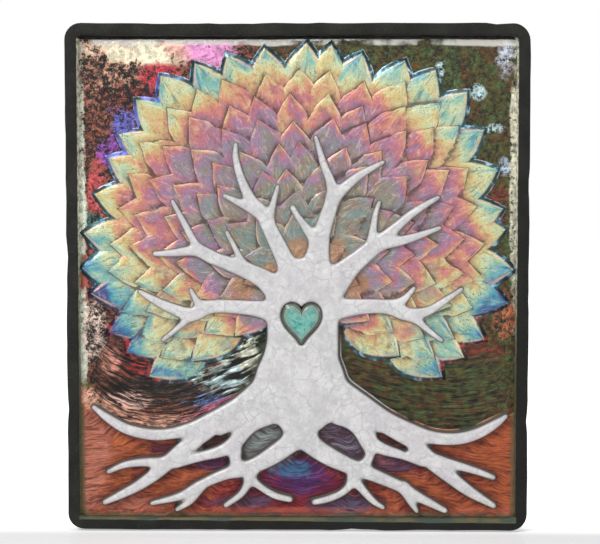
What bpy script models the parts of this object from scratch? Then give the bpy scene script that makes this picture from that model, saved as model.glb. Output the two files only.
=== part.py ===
"""Raku wall plaque with a tree of life in relief, pressed from one slab of clay.

The plaque hangs on a wall. The wall is the plane y = 0, the front of the plaque faces -Y,
+Z is up, and the origin is the middle of the back.
A raised border frames a sunk picture: a crown of overlapping pointed leaves, a tree with
spreading branches and roots in front of it, and a heart set in a groove on the trunk.
"""
import math
import random

import bmesh
import bpy
import numpy as np
from mathutils import Vector
from mathutils.geometry import delaunay_2d_cdt

# The slab
WIDTH = 0.254
HEIGHT = 0.279
SLAB_THICKNESS = 0.0095        # from the wall to the ground of the picture
CORNER_RADIUS = 0.009
EDGE_ROUNDING = 0.0014
EDGE_WAVE = 0.0005             # how far the hand-cut edge wanders

# The border, which stands up round the picture
BORDER_WIDTH = 0.0075
BORDER_RISE = 0.0045
BORDER_SLOPE = 0.0015          # how far the inner wall leans
PICTURE_CORNER_RADIUS = 0.0015

# The picture is drawn in millimetres from its middle, x to the right and y up,
# on a field of this size, and stretched to fit inside the border
DRAWING_WIDTH = 239.0
DRAWING_HEIGHT = 264.0

# The crown of leaves
LEAF_TIP_RISE = 0.0028         # above the ground, in the outermost row
LEAF_ROW_LIFT = 0.00012        # each row inwards stands this much higher
LEAF_TILT = 0.0014             # the tip stands this much prouder than the base
LEAF_RIDGE = 0.0004
LEAF_LENGTH = 31.0             # in the drawing's millimetres, as are all below
LEAF_WIDTH = 22.0
LEAF_SPACING = 19.0
LEAF_ROW_STEP = 13.0
LEAF_ROWS = 8
CROWN_CENTRE = (0.0, 8.0)
CROWN_RADIUS = 119.0
CROWN_LOW_RADIUS = 103.0       # where the crown ends, low on both sides
CROWN_ENDS = (-38.0, 217.0)    # degrees, right end and left end
CROWN_END_SPREAD = 18.0        # degrees over which the crown narrows to its low ends
CROWN_BULGES = [(46, 14), (132, 7)]   # degrees, and how far the crown swells there
CROWN_BULGE_SPREAD = 17.0
ROW_ENDS_SHIFT = (-0.06, 0.20)  # degrees for each millimetre that a row lies further in
LEAF_SHAPE = [(0.0, 0.36), (0.34, 0.5), (0.68, 0.37), (1.0, 0.0)]   # shares: along, half width
WALL_LEAN = 0.5
OUTER_WALL_LEAN = 1.8

# The tree
TREE_RISE = 0.0055
TREE_SHOULDER_DROP = 0.0012    # the edge of a limb is this much lower than its middle
TREE_SHOULDER = 1.4            # and the slope is this wide, in the drawing's millimetres
WEB = 2.7                      # how far limbs flow into each other
OUTLINE_STEP = 1.0
OUTLINE_TOLERANCE = 0.22

# The heart on the trunk
HEART_CENTRE = (2.6, -23.5)
HEART_GROOVE_WIDTH = 22.5
HEART_GROOVE_HEIGHT = 23.5
HEART_WIDTH = 17.8
HEART_HEIGHT = 19.0
HEART_GROOVE_DEPTH = 0.0016
HEART_DOME = 0.0007

# The hanging slot, moulded into the back
SLOT_WIDTH = 0.024
SLOT_HEIGHT = 0.009
SLOT_DEPTH = 0.0065
SLOT_BELOW_TOP = 0.040

# How far a solid reaches into the one it is joined to, and what keeps the feet of
# neighbouring leaves out of one plane
JOIN_DEPTH = 0.001
FOOT_STAGGER = 0.000004

# Every limb of the tree, thick end first: x, y and full width at each point
LIMBS = {
    "trunk": [(3.5, -6, 34.5), (3, -14.5, 38.5), (3, -33.5, 38.8), (2, -47, 41.8), (1.5, -60, 51)],
    "left_low": [(-12, -18, 12), (-26, -16, 8), (-45.5, -15.2, 7.2), (-58, -19.4, 7),
                 (-69, -16.2, 5.5), (-79, -11.4, 4), (-86.5, -7, 2)],
    "left_low_up": [(-50, -15.5, 5.5), (-54.4, -13, 4), (-58.4, -6, 2)],
    "left_low_down": [(-53.5, -18.4, 5), (-59.2, -21.8, 3.5), (-66.8, -28.2, 2.8), (-74, -34, 2)],
    "left_mid": [(-9, -8, 14.5), (-19, 0.2, 10.4), (-31.5, 6, 8.4), (-45, 11, 6.8),
                 (-55.5, 15.2, 5.6), (-67.5, 14.2, 4), (-78, 13.6, 2.6)],
    "left_mid_up": [(-47, 12.2, 5), (-54.8, 18, 4.2), (-61.8, 30.5, 3.4), (-68.2, 42.5, 2)],
    "left_mid_twig": [(-29, 6.5, 4), (-33, 15, 3), (-38.5, 25.5, 2)],
    "left_high": [(-1, -2.5, 13), (-6.3, 9.5, 10), (-11.4, 20, 8.7), (-19.3, 36, 7.2),
                  (-25.5, 43.5, 6), (-30.5, 54.5, 4.5), (-33.5, 65.5, 3.5), (-33.5, 73.5, 2)],
    "left_high_out": [(-22.5, 37, 5.5), (-33.5, 42.5, 3.5), (-40, 45.5, 2)],
    "left_high_in": [(-16, 29.5, 5), (-12.5, 43.5, 3), (-10.5, 50.5, 2)],
    "middle_twig": [(12, 18.5, 7.5), (1.5, 32.5, 3.5), (-2.5, 39, 3)],
    "right_high": [(10, -0.5, 19.4), (11.2, 13, 12.6), (13.4, 24.5, 9.2), (16.8, 35.5, 8.2),
                   (19.5, 45, 7), (18, 53.5, 5), (14.5, 62.5, 4), (10, 77.5, 2)],
    "right_high_out": [(19.5, 44, 6.5), (32.8, 55.8, 4.5), (47, 63.8, 2)],
    "right_mid": [(16, -6, 19), (28.8, 6.6, 11.4), (39, 15.2, 9.4), (46, 21, 7.5),
                  (54.2, 28.5, 5.2), (62.4, 35.6, 4.2), (71, 41.2, 3.2), (77, 44.6, 2)],
    "right_mid_low": [(44, 19.2, 7), (55.5, 20.7, 5.2), (65, 23.3, 4), (78, 28, 2)],
    "right_mid_up": [(40.6, 21.5, 4.5), (42.6, 35, 3), (44.8, 42, 2)],
    "right_low": [(18.5, -17, 12), (35, -15.2, 8.4), (49, -15.4, 7.5), (60, -19.2, 6.8),
                  (71, -17.8, 5), (80, -12.4, 3.6), (90, -5.5, 2)],
    "right_low_up": [(50.5, -15, 5.5), (58, -11.5, 4), (64, -5, 2)],
    "right_low_down": [(58, -18.2, 5.5), (65.5, -22.8, 4), (72.9, -29, 3), (79.2, -33.8, 2)],
    "root_left_top": [(-16, -62.5, 19), (-31.5, -72, 13.5), (-46, -78, 9.5), (-57, -82.5, 7.5),
                      (-68.5, -85.4, 6), (-79.5, -86.2, 6), (-93, -83.5, 5.6), (-103.3, -77.8, 4.6),
                      (-112.2, -71, 2.2)],
    "root_left_mid": [(-19, -70, 15.5), (-38, -79, 10.5), (-53, -87.5, 8.5), (-65, -96, 8),
                      (-76.5, -106.5, 7), (-87.5, -114.5, 5.5), (-99, -120.5, 4),
                      (-106.5, -124, 2.5)],
    "root_left_twig": [(-73, -102, 6), (-83.5, -101.5, 4.5), (-95, -103, 3.5), (-104.5, -107, 2)],
    "root_left_in": [(-21.5, -82.5, 16.5), (-32, -89.5, 9.5), (-41.5, -95, 6.5),
                     (-54, -98.5, 5), (-66.5, -102, 5)],
    "root_left_link": [(-29.5, -86, 11), (-34, -96, 6.5), (-33, -106, 6.5)],
    "root_left_low": [(2, -83.5, 15.5), (-4.5, -91, 11), (-13.5, -97.5, 10), (-23.5, -103, 8),
                      (-41, -108.5, 6), (-54, -114.5, 5), (-65, -120.5, 4), (-80.5, -124.5, 2)],
    "root_left_low_twig": [(-54, -116, 4.5), (-59, -123, 3.5), (-66.5, -128, 2)],
    "root_left_end_a": [(-24.5, -106, 5.5), (-30, -118, 3.5), (-39.5, -125.5, 2.5)],
    "root_left_end_b": [(-26, -110.5, 4.5), (-19, -116, 3.5), (-12, -120, 3.5), (-4, -122, 3)],
    "root_right_top": [(20, -62.5, 18), (35, -70.2, 13), (48.8, -78, 9.8), (63.5, -84.1, 8),
                       (75.5, -87.6, 6.8), (88.5, -88, 6.4), (99.6, -84.9, 5.8), (108.4, -80, 4.5),
                       (114.8, -75.4, 2)],
    "root_right_mid": [(25.5, -69, 15.5), (43, -78, 10), (56, -86, 9), (65.4, -93.4, 9.2),
                       (75.6, -102, 8.6), (85, -109.8, 7.2), (94.8, -117.2, 5.8),
                       (108.2, -125.2, 2.8)],
    "root_right_twig": [(78, -100.5, 6), (88.5, -103, 4.5), (100, -106.5, 3.5),
                        (108, -109.5, 2.5)],
    "root_right_in": [(27, -82.5, 16.5), (39, -88, 8.5), (46.5, -93.5, 6.5), (58, -97, 5),
                      (68, -100.5, 5)],
    "root_right_link": [(36.5, -86, 10), (40, -96, 5), (36.5, -104, 6)],
    "root_right_low": [(2, -83.5, 15.5), (8, -91.5, 11), (17.5, -98, 10), (29, -103.4, 8.4),
                       (42, -108.3, 7), (57, -114.8, 5.8), (69, -121.6, 4.8), (81.5, -128, 2.8)],
    "root_right_low_twig": [(59, -115, 5), (62, -122, 4), (66, -128.5, 2)],
    "root_right_end_a": [(31.5, -106, 5.5), (29.5, -113, 4.5), (25, -118, 3.5),
                         (17.5, -121.5, 3.5), (9.5, -123.5, 3)],
    "root_right_end_b": [(31, -110.5, 5), (41, -122, 3.5), (47.5, -126.5, 2)],
}

# Openings between the roots: places along the middle, and the full width there
WINDOWS = {
    "left": [(-26.5, -94, 8.5), (-19.8, -88.6, 11), (-12.5, -84, 8)],
    "right": [(18.6, -83.9, 8.5), (25.7, -88.4, 11.8), (31.4, -94.2, 8.4)],
    "left_slot": [(-51, -92.5, 3), (-44.4, -88, 3.8)],
    "right_slot": [(46.2, -87, 4.2), (59.6, -93.8, 3)],
}


def on_picture(point, rise):
    """The place on the plaque of a point of the drawing, at a rise above the ground."""
    scale_x = (WIDTH - 2 * BORDER_WIDTH) / DRAWING_WIDTH
    scale_z = (HEIGHT - 2 * BORDER_WIDTH) / DRAWING_HEIGHT
    return Vector((point[0] * scale_x, -(SLAB_THICKNESS + rise), point[1] * scale_z))


def new_object(name, mesh_data):
    """Put a finished bmesh in the scene, with its faces turned outwards."""
    bmesh.ops.recalc_face_normals(mesh_data, faces=mesh_data.faces)
    mesh = bpy.data.meshes.new(name)
    mesh_data.to_mesh(mesh)
    mesh_data.free()
    obj = bpy.data.objects.new(name, mesh)
    bpy.context.scene.collection.objects.link(obj)
    return obj


def combine(target, tool, operation):
    """Join a tool solid to the target, or cut it out, and hide the tool."""
    boolean = target.modifiers.new(operation.lower() + "_" + tool.name, "BOOLEAN")
    boolean.operation = operation
    boolean.solver = "EXACT"
    boolean.use_self = True
    boolean.object = tool
    tool.hide_render = True
    tool.display_type = "WIRE"


def rounded_rectangle(half_width, half_height, radius, per_side, per_corner):
    """Points round a rectangle with round corners, always the same number of them."""
    points = []
    corners = [(1, 1, 0), (-1, 1, 90), (-1, -1, 180), (1, -1, 270)]
    for sign_x, sign_z, start in corners:
        middle = (sign_x * (half_width - radius), sign_z * (half_height - radius))
        for step in range(per_corner + 1):
            angle = math.radians(start + 90 * step / per_corner)
            points.append((middle[0] + radius * math.cos(angle),
                           middle[1] + radius * math.sin(angle)))
    outline = []
    for index, point in enumerate(points):
        outline.append(point)
        if index % (per_corner + 1) == per_corner:
            following = points[(index + 1) % len(points)]
            for step in range(1, per_side):
                share = step / per_side
                outline.append((point[0] + share * (following[0] - point[0]),
                                point[1] + share * (following[1] - point[1])))
    return outline


def wavy(outline):
    """Let an outline wander in and out a little, as a hand-cut clay edge does."""
    moved = []
    for x, z in outline:
        turn = math.atan2(z, x)
        wave = 0.5 * math.sin(11 * turn + 0.6) + 0.3 * math.sin(23 * turn) + 0.2 * math.sin(37 * turn)
        length = math.hypot(x, z)
        factor = 1 - EDGE_WAVE * (0.5 + 0.5 * wave) / length
        moved.append((x * factor, z * factor))
    return moved


def make_slab():
    """The clay slab, its raised border and the sunk ground of the picture."""
    half_width = WIDTH / 2
    half_height = HEIGHT / 2
    front = SLAB_THICKNESS + BORDER_RISE

    def outer(inset):
        return wavy(rounded_rectangle(half_width - inset, half_height - inset,
                                      CORNER_RADIUS - inset, 14, 4))

    def inner(inset):
        return rounded_rectangle(half_width - inset, half_height - inset,
                                 PICTURE_CORNER_RADIUS, 14, 4)

    rings = [
        (outer(EDGE_ROUNDING), 0.0),
        (outer(0), EDGE_ROUNDING),
        (outer(0), front - EDGE_ROUNDING),
        (outer(EDGE_ROUNDING), front),
        (inner(BORDER_WIDTH - BORDER_SLOPE), front),
        (inner(BORDER_WIDTH), SLAB_THICKNESS),
    ]
    mesh_data = bmesh.new()
    loops = []
    for outline, depth in rings:
        loops.append([mesh_data.verts.new((x, -depth, z)) for x, z in outline])
    for lower, upper in zip(loops, loops[1:]):
        for index in range(len(lower)):
            following = (index + 1) % len(lower)
            mesh_data.faces.new((lower[index], lower[following], upper[following], upper[index]))
    mesh_data.faces.new(loops[0])
    mesh_data.faces.new(loops[-1])
    return new_object("plaque", mesh_data)


def crown_edge(degrees):
    """How far the crown reaches from its centre in a direction."""
    low, high = CROWN_ENDS
    from_end = max(min(degrees - low, high - degrees), 0) / CROWN_END_SPREAD
    edge = CROWN_RADIUS - (CROWN_RADIUS - CROWN_LOW_RADIUS) * math.exp(-from_end ** 2)
    for middle, swell in CROWN_BULGES:
        edge += swell * math.exp(-((degrees - middle) / CROWN_BULGE_SPREAD) ** 2)
    return edge


def add_leaf(mesh_data, tip, turn, width, tip_rise, lean, depth):
    """One pointed leaf: a low wedge, ridged along its middle, highest at its tip."""
    along = (math.cos(turn), math.sin(turn))
    across = (-along[1], along[0])

    def place(share, side, rise):
        back = (share - 1) * LEAF_LENGTH
        point = (tip[0] + back * along[0] + side * across[0],
                 tip[1] + back * along[1] + side * across[1])
        return mesh_data.verts.new(on_picture(point, rise))

    left, ridge, right, left_foot, right_foot = [], [], [], [], []
    for share, half in LEAF_SHAPE:
        rise = tip_rise - LEAF_TILT * (1 - share)
        side = half * width
        foot = side + lean
        reach = share
        if half == 0.0:
            foot = 0.0
            reach = 1 + 1.6 * lean / LEAF_LENGTH
        ridge.append(place(share, 0.0, rise + (LEAF_RIDGE if half else 0.0)))
        if half:
            left.append(place(share, side, rise))
            right.append(place(share, -side, rise))
            left_foot.append(place(reach, foot, -depth))
            right_foot.append(place(reach, -foot, -depth))
        else:
            tip_foot = place(reach, 0.0, -depth)
    left.append(ridge[-1])
    right.append(ridge[-1])
    left_foot.append(tip_foot)
    right_foot.append(tip_foot)
    for index in range(len(LEAF_SHAPE) - 1):
        following = index + 1
        last = following == len(LEAF_SHAPE) - 1
        for side, foot in ((left, left_foot), (right, right_foot)):
            if last:
                mesh_data.faces.new((ridge[index], side[index], side[following]))
            else:
                mesh_data.faces.new((ridge[index], side[index], side[following], ridge[following]))
            mesh_data.faces.new((side[index], foot[index], foot[following], side[following]))
    mesh_data.faces.new((left[0], ridge[0], right[0], right_foot[0], left_foot[0]))
    mesh_data.faces.new(left_foot + right_foot[-2::-1])


def leaf_rows():
    """Where the leaves sit: tip, direction, width and row, row by row from the outside in."""
    chance = random.Random(7)
    leaves = []
    for row in range(LEAF_ROWS):
        inwards = row * LEAF_ROW_STEP
        start = CROWN_ENDS[0] + ROW_ENDS_SHIFT[0] * inwards
        end = CROWN_ENDS[1] + ROW_ENDS_SHIFT[1] * inwards
        radius = CROWN_RADIUS - inwards
        count = round(math.radians(end - start) * radius / LEAF_SPACING)
        step = (end - start) / count
        for index in range(count + 1 - row % 2):
            degrees = start + (index + 0.5 * (row % 2)) * step + chance.uniform(-0.12, 0.12) * step
            reach = crown_edge(degrees) - inwards + chance.uniform(-2.0, 2.0)
            turn = math.radians(degrees)
            tip = (CROWN_CENTRE[0] + reach * math.cos(turn), CROWN_CENTRE[1] + reach * math.sin(turn))
            width = LEAF_WIDTH * chance.uniform(0.92, 1.08)
            leaves.append((tip, turn + chance.uniform(-0.1, 0.1), width, row))
    return leaves


def make_crown():
    """All the leaves as one tool solid; each row overlaps the row outside it."""
    mesh_data = bmesh.new()
    for number, (tip, turn, width, row) in enumerate(leaf_rows()):
        lean = WALL_LEAN if row else OUTER_WALL_LEAN
        tip_rise = LEAF_TIP_RISE + row * LEAF_ROW_LIFT
        depth = JOIN_DEPTH + number * FOOT_STAGGER
        add_leaf(mesh_data, tip, turn, width, tip_rise, lean, depth)
    return new_object("crown_leaves", mesh_data)


def smooth_route(points, per_span=6):
    """A smooth curve through the points of a limb, widths included."""
    given = np.array(points, float)
    padded = np.vstack([2 * given[0] - given[1], given, 2 * given[-1] - given[-2]])
    route = []
    for index in range(1, len(padded) - 2):
        before, here, there, after = padded[index - 1:index + 3]
        for step in range(per_span):
            t = step / per_span
            route.append(0.5 * (2 * here + (there - before) * t
                                + (2 * before - 5 * here + 4 * there - after) * t ** 2
                                + (3 * here - before - 3 * there + after) * t ** 3))
    route.append(given[-1])
    return np.array(route)


def limb_distance(points, grid_x, grid_y):
    """Distance from every grid point to a limb of changing width, negative inside it."""
    route = smooth_route(points)
    nearest = np.full(grid_x.shape, 1e6)
    for start, end in zip(route, route[1:]):
        span = end[:2] - start[:2]
        share = ((grid_x - start[0]) * span[0] + (grid_y - start[1]) * span[1]) / (span @ span)
        share = np.clip(share, 0, 1)
        gap = np.hypot(grid_x - start[0] - share * span[0], grid_y - start[1] - share * span[1])
        radius = 0.5 * (start[2] + share * (end[2] - start[2]))
        nearest = np.minimum(nearest, gap - radius)
    return nearest


def smooth_less(first, second, web):
    """The smaller of two distances, rounded where they are nearly the same."""
    blend = np.clip(0.5 + 0.5 * (second - first) / web, 0, 1)
    return second * (1 - blend) + first * blend - web * blend * (1 - blend)


def tree_distance():
    """The tree as a map of distances, with the grid that it is worked out on."""
    given = np.array([point for points in LIMBS.values() for point in points])
    margin = given[:, 2].max() / 2 + WEB
    low = given[:, :2].min(0) - margin
    high = given[:, :2].max(0) + margin
    columns = np.arange(low[0], high[0], OUTLINE_STEP)
    rows = np.arange(low[1], high[1], OUTLINE_STEP)
    grid_x, grid_y = np.meshgrid(columns, rows)
    tree = None
    for points in LIMBS.values():
        limb = limb_distance(points, grid_x, grid_y)
        tree = limb if tree is None else smooth_less(tree, limb, WEB)
    for points in WINDOWS.values():
        tree = -smooth_less(-tree, limb_distance(points, grid_x, grid_y), 0.5 * WEB)
    return tree, columns, rows


def outlines(field, columns, rows, level):
    """Closed outlines where a map of distances crosses a level, by walking its grid cells."""
    inside = field < level
    links = {}

    def crossing(row_a, col_a, row_b, col_b):
        share = (level - field[row_a, col_a]) / (field[row_b, col_b] - field[row_a, col_a])
        return (columns[col_a] + share * (columns[col_b] - columns[col_a]),
                rows[row_a] + share * (rows[row_b] - rows[row_a]))

    places = {}
    for row in range(len(rows) - 1):
        for col in range(len(columns) - 1):
            corners = [(row, col), (row, col + 1), (row + 1, col + 1), (row + 1, col)]
            states = [inside[corner] for corner in corners]
            if all(states) or not any(states):
                continue
            leaving, entering = [], []
            for index in range(4):
                first, second = corners[index], corners[(index + 1) % 4]
                if states[index] != states[(index + 1) % 4]:
                    edge = tuple(sorted((first, second)))
                    places[edge] = crossing(*edge[0], *edge[1])
                    (leaving if states[index] else entering).append(edge)
            for start, end in zip(entering, leaving):
                links[start] = end
    found = []
    while links:
        start, following = links.popitem()
        loop = [places[start]]
        while following != start:
            loop.append(places[following])
            following = links.pop(following)
        found.append(loop)
    return found


def thinned(loop, tolerance):
    """A closed outline with only the points that its shape needs."""
    points = np.array(loop)
    far = int(np.argmax(np.hypot(*(points - points[0]).T)))
    keep = {0, far}
    spans = [(0, far), (far, len(points))]
    while spans:
        start, end = spans.pop()
        if end - start < 2:
            continue
        first, last = points[start], points[end % len(points)]
        line = last - first
        between = points[start + 1:end]
        away = np.abs(line[0] * (between[:, 1] - first[1]) - line[1] * (between[:, 0] - first[0]))
        away = away / max(np.hypot(*line), 1e-9)
        worst = int(np.argmax(away))
        if away[worst] > tolerance:
            middle = start + 1 + worst
            keep.add(middle)
            spans += [(start, middle), (middle, end)]
    return [tuple(points[index]) for index in sorted(keep)]


def inside_loops(point, starts, ends):
    """Whether a point lies inside the loops whose edges are given."""
    crosses = (starts[:, 1] > point[1]) != (ends[:, 1] > point[1])
    start, end = starts[crosses], ends[crosses]
    at = start[:, 0] + (point[1] - start[:, 1]) / (end[:, 1] - start[:, 1]) * (end[:, 0] - start[:, 0])
    return np.count_nonzero(at > point[0]) % 2 == 1


def make_tree():
    """The tree: a flat-topped solid with sloping shoulders, cut to the tree's outline."""
    field, columns, rows = tree_distance()
    edge_loops = [thinned(loop, OUTLINE_TOLERANCE) for loop in outlines(field, columns, rows, 0.0)
                  if len(loop) > 8]
    crest_loops = [thinned(loop, 1.6 * OUTLINE_TOLERANCE)
                   for loop in outlines(field, columns, rows, -TREE_SHOULDER) if len(loop) > 8]
    points, edges = [], []
    for loop in edge_loops + crest_loops:
        first = len(points)
        points += [Vector(point) for point in loop]
        edges += [(first + index, first + (index + 1) % len(loop)) for index in range(len(loop))]
    edge_count = sum(len(loop) for loop in edge_loops)
    flat, _, faces, sources, _, _ = delaunay_2d_cdt(points, edges, [], 0, 1e-5)
    starts = np.array([point for loop in edge_loops for point in loop])
    ends = np.array([point for loop in edge_loops for point in loop[1:] + loop[:1]])
    on_edge = [not source or min(source) < edge_count for source in sources]
    mesh_data = bmesh.new()
    shoulder = TREE_RISE - TREE_SHOULDER_DROP
    top = [mesh_data.verts.new(on_picture(point, shoulder if edge else TREE_RISE))
           for point, edge in zip(flat, on_edge)]
    foot = [mesh_data.verts.new(on_picture(point, -JOIN_DEPTH)) for point in flat]
    for face in faces:
        middle = sum((flat[index] for index in face), Vector((0, 0))) / len(face)
        if inside_loops(middle, starts, ends):
            mesh_data.faces.new([top[index] for index in face])
            mesh_data.faces.new([foot[index] for index in reversed(face)])
    rims = [edge for edge in mesh_data.edges if len(edge.link_faces) == 1]
    partner = dict(zip(top, foot))
    for rim in rims:
        if rim.verts[0] in partner:
            first, second = rim.verts
            mesh_data.faces.new((first, second, partner[second], partner[first]))
    loose = [vert for vert in mesh_data.verts if not vert.link_faces]
    bmesh.ops.delete(mesh_data, geom=loose, context="VERTS")
    return new_object("tree", mesh_data)


def heart_outline(width, height, count=28):
    """Points round a heart of a given size, centred on the middle of its height."""
    points = []
    for index in range(count):
        turn = 2 * math.pi * index / count
        x = math.sin(turn) ** 3
        y = (13 * math.cos(turn) - 5 * math.cos(2 * turn) - 2 * math.cos(3 * turn)
             - math.cos(4 * turn)) / 16
        points.append((x * width / 2, (y + 0.16) * height / 1.81))
    return points


def heart_solid(name, width, height, low, edge, dome):
    """A heart standing between two rises, with an optional domed top."""
    mesh_data = bmesh.new()
    outline = heart_outline(width, height)
    levels = [(1.0, low), (1.0, edge)]
    if dome:
        levels += [(0.82, edge + 0.7 * dome), (0.5, edge + dome)]
    loops = []
    for share, rise in levels:
        loop = [(HEART_CENTRE[0] + x * share, HEART_CENTRE[1] + y * share) for x, y in outline]
        loops.append([mesh_data.verts.new(on_picture(point, rise)) for point in loop])
    for lower, upper in zip(loops, loops[1:]):
        for index in range(len(lower)):
            following = (index + 1) % len(lower)
            mesh_data.faces.new((lower[index], lower[following], upper[following], upper[index]))
    mesh_data.faces.new(loops[0])
    mesh_data.faces.new(loops[-1])
    return new_object(name, mesh_data)


def make_slot():
    """The tool that cuts the hanging slot into the back, open to the wall."""
    mesh_data = bmesh.new()
    bmesh.ops.create_cube(mesh_data, size=1.0)
    ceiling = HEIGHT / 2 - SLOT_BELOW_TOP
    for vert in mesh_data.verts:
        x, y, z = vert.co
        vert.co = Vector((x * SLOT_WIDTH,
                          -SLOT_DEPTH if y < 0 else JOIN_DEPTH,
                          ceiling if z > 0 else ceiling - SLOT_HEIGHT))
    return new_object("hanging_slot", mesh_data)


def clay_material():
    """Smoked clay under a lustrous glaze."""
    material = bpy.data.materials.new("raku_clay")
    material.use_nodes = True
    shader = material.node_tree.nodes["Principled BSDF"]
    shader.inputs["Base Color"].default_value = (0.28, 0.22, 0.2, 1)
    shader.inputs["Roughness"].default_value = 0.4
    shader.inputs["Metallic"].default_value = 0.0
    return material


def main():
    for old in list(bpy.data.objects):
        bpy.data.objects.remove(old)
    plaque = make_slab()
    combine(plaque, make_crown(), "UNION")
    combine(plaque, make_tree(), "UNION")
    groove_floor = TREE_RISE - HEART_GROOVE_DEPTH
    combine(plaque, heart_solid("heart_groove", HEART_GROOVE_WIDTH, HEART_GROOVE_HEIGHT,
                                groove_floor, TREE_RISE + JOIN_DEPTH, 0), "DIFFERENCE")
    combine(plaque, heart_solid("heart", HEART_WIDTH, HEART_HEIGHT, groove_floor - JOIN_DEPTH,
                                TREE_RISE - HEART_DOME, HEART_DOME), "UNION")
    combine(plaque, make_slot(), "DIFFERENCE")
    plaque.data.materials.append(clay_material())


main()
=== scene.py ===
# %% [markdown]
# # A raku wall plaque with a tree of life
#
# The real plaque is one slab of clay, pressed with a relief, glazed and fired in the raku
# way: it comes out of the kiln glowing, and smoke blackens whatever is bare and every crack
# in the white glaze, while metal salts turn the other glazes into a shifting lustre.
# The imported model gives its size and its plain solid. Here each glazed part gets a fine
# surface of its own: the bare border, the pebbled ground, the soil, the leaves, the tree
# and the heart.

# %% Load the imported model
import math
import random
import bmesh
import bpy
import numpy as np
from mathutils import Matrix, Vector
from mathutils.geometry import delaunay_2d_cdt


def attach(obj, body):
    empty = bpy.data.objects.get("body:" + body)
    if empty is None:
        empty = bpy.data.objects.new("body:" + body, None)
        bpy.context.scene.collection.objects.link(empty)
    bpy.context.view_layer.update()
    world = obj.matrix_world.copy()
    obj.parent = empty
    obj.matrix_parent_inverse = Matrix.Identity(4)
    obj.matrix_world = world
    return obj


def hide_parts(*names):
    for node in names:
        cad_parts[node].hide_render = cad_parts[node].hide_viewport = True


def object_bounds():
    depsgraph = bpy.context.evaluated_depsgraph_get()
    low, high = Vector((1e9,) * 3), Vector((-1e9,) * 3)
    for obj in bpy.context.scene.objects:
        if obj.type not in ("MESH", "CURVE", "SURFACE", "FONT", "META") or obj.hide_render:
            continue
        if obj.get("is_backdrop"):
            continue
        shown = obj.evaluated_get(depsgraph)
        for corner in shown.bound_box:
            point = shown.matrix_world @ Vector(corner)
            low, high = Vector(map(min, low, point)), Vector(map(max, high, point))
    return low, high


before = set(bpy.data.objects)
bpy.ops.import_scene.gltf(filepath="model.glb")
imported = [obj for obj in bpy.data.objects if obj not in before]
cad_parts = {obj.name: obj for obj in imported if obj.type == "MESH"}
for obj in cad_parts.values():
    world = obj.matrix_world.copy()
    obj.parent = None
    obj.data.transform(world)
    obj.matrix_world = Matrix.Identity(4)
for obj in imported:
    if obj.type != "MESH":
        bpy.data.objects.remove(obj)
cad_low, cad_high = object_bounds()
print("the plaque measures", [round(1000 * side, 1) for side in cad_high - cad_low], "mm")

# %% [markdown]
# The wall is the plane y = 0, and the picture faces the viewer along -Y. A point of the
# picture is given in millimetres from the plaque's middle, x to the right and y up, and
# a rise is its height above the ground of the picture. One function turns them into a place.

# %% Sizes of the plaque
MM = 0.001
GROUND = 0.0095
BORDER_RISE = 0.0045
BORDER_WIDTH = 0.0075
BORDER_SLOPE = 0.0008
CORNER_RADIUS = 0.009


def place(x, y, rise=0.0):
    """The place of a point of the picture, with the rise in metres."""
    return Vector((x * MM, -(GROUND + rise), y * MM))


print("the ground of the picture lies", GROUND / MM, "mm off the wall")

# %% [markdown]
# The camera stands almost square to the plaque, a little above its middle and a little to
# the right, because in the photograph the top edge is slightly longer than the bottom one.
# It is made first, so that every later step can be looked at through it.

# %% Camera
CAMERA_DISTANCE = 1.0
CAMERA_AZIMUTH = math.radians(0.99)
CAMERA_ELEVATION = math.radians(3.9)
CAMERA_LENS = 108.27
AIM = Vector((0.0013, 0.0, 0.0029))

lens = bpy.data.cameras.new("camera")
lens.lens = CAMERA_LENS
lens.sensor_width = 36.0
camera = bpy.data.objects.new("camera", lens)
bpy.context.scene.collection.objects.link(camera)
back = Vector((math.sin(CAMERA_AZIMUTH) * math.cos(CAMERA_ELEVATION),
               -math.cos(CAMERA_AZIMUTH) * math.cos(CAMERA_ELEVATION),
               math.sin(CAMERA_ELEVATION)))
camera.location = AIM + CAMERA_DISTANCE * back
camera.rotation_euler = (-back).to_track_quat("-Z", "Y").to_euler()
bpy.context.scene.camera = camera
print("the camera stands", [round(value, 3) for value in camera.location])

# %% [markdown]
# Operators act on whatever is selected, so each step starts with nothing selected. In edit
# mode, faces and edges are picked by a rule about where they are, as a modeller would click
# on them.

# %% Helpers for modelling by operators


def only(obj):
    """Select one object alone and make it the active one."""
    bpy.ops.object.select_all(action="DESELECT")
    obj.select_set(True)
    bpy.context.view_layer.objects.active = obj
    return obj


def edit(obj, kind="FACE"):
    """Go into edit mode on one object with nothing selected."""
    only(obj)
    bpy.ops.object.mode_set(mode="EDIT")
    bpy.ops.mesh.select_mode(type=kind)
    bpy.ops.mesh.select_all(action="DESELECT")


def pick(obj, kind, rule):
    """Select the faces, edges or vertices of the object in edit mode that a rule allows."""
    mesh_data = bmesh.from_edit_mesh(obj.data)
    picked = 0
    for element in getattr(mesh_data, kind):
        if rule(element):
            element.select_set(True)
            picked += 1
    mesh_data.select_flush_mode()
    bmesh.update_edit_mesh(obj.data)
    return picked


def done():
    """Leave edit mode."""
    bpy.ops.object.mode_set(mode="OBJECT")


def settle(obj):
    """Apply the place, turn and scale, so that the object sits at the origin."""
    only(obj)
    bpy.ops.object.transform_apply(location=True, rotation=True, scale=True)


def start_from(primitive, name, **settings):
    """Add a primitive with nothing else selected, name it and settle it."""
    bpy.ops.object.select_all(action="DESELECT")
    primitive(**settings)
    made = bpy.context.active_object
    made.name = name
    settle(made)
    return made


def extrude(deeper):
    """Extrude what is selected, and move it towards the wall by a distance."""
    bpy.ops.mesh.extrude_region_move(TRANSFORM_OT_translate={"value": (0, deeper, 0)})


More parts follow.
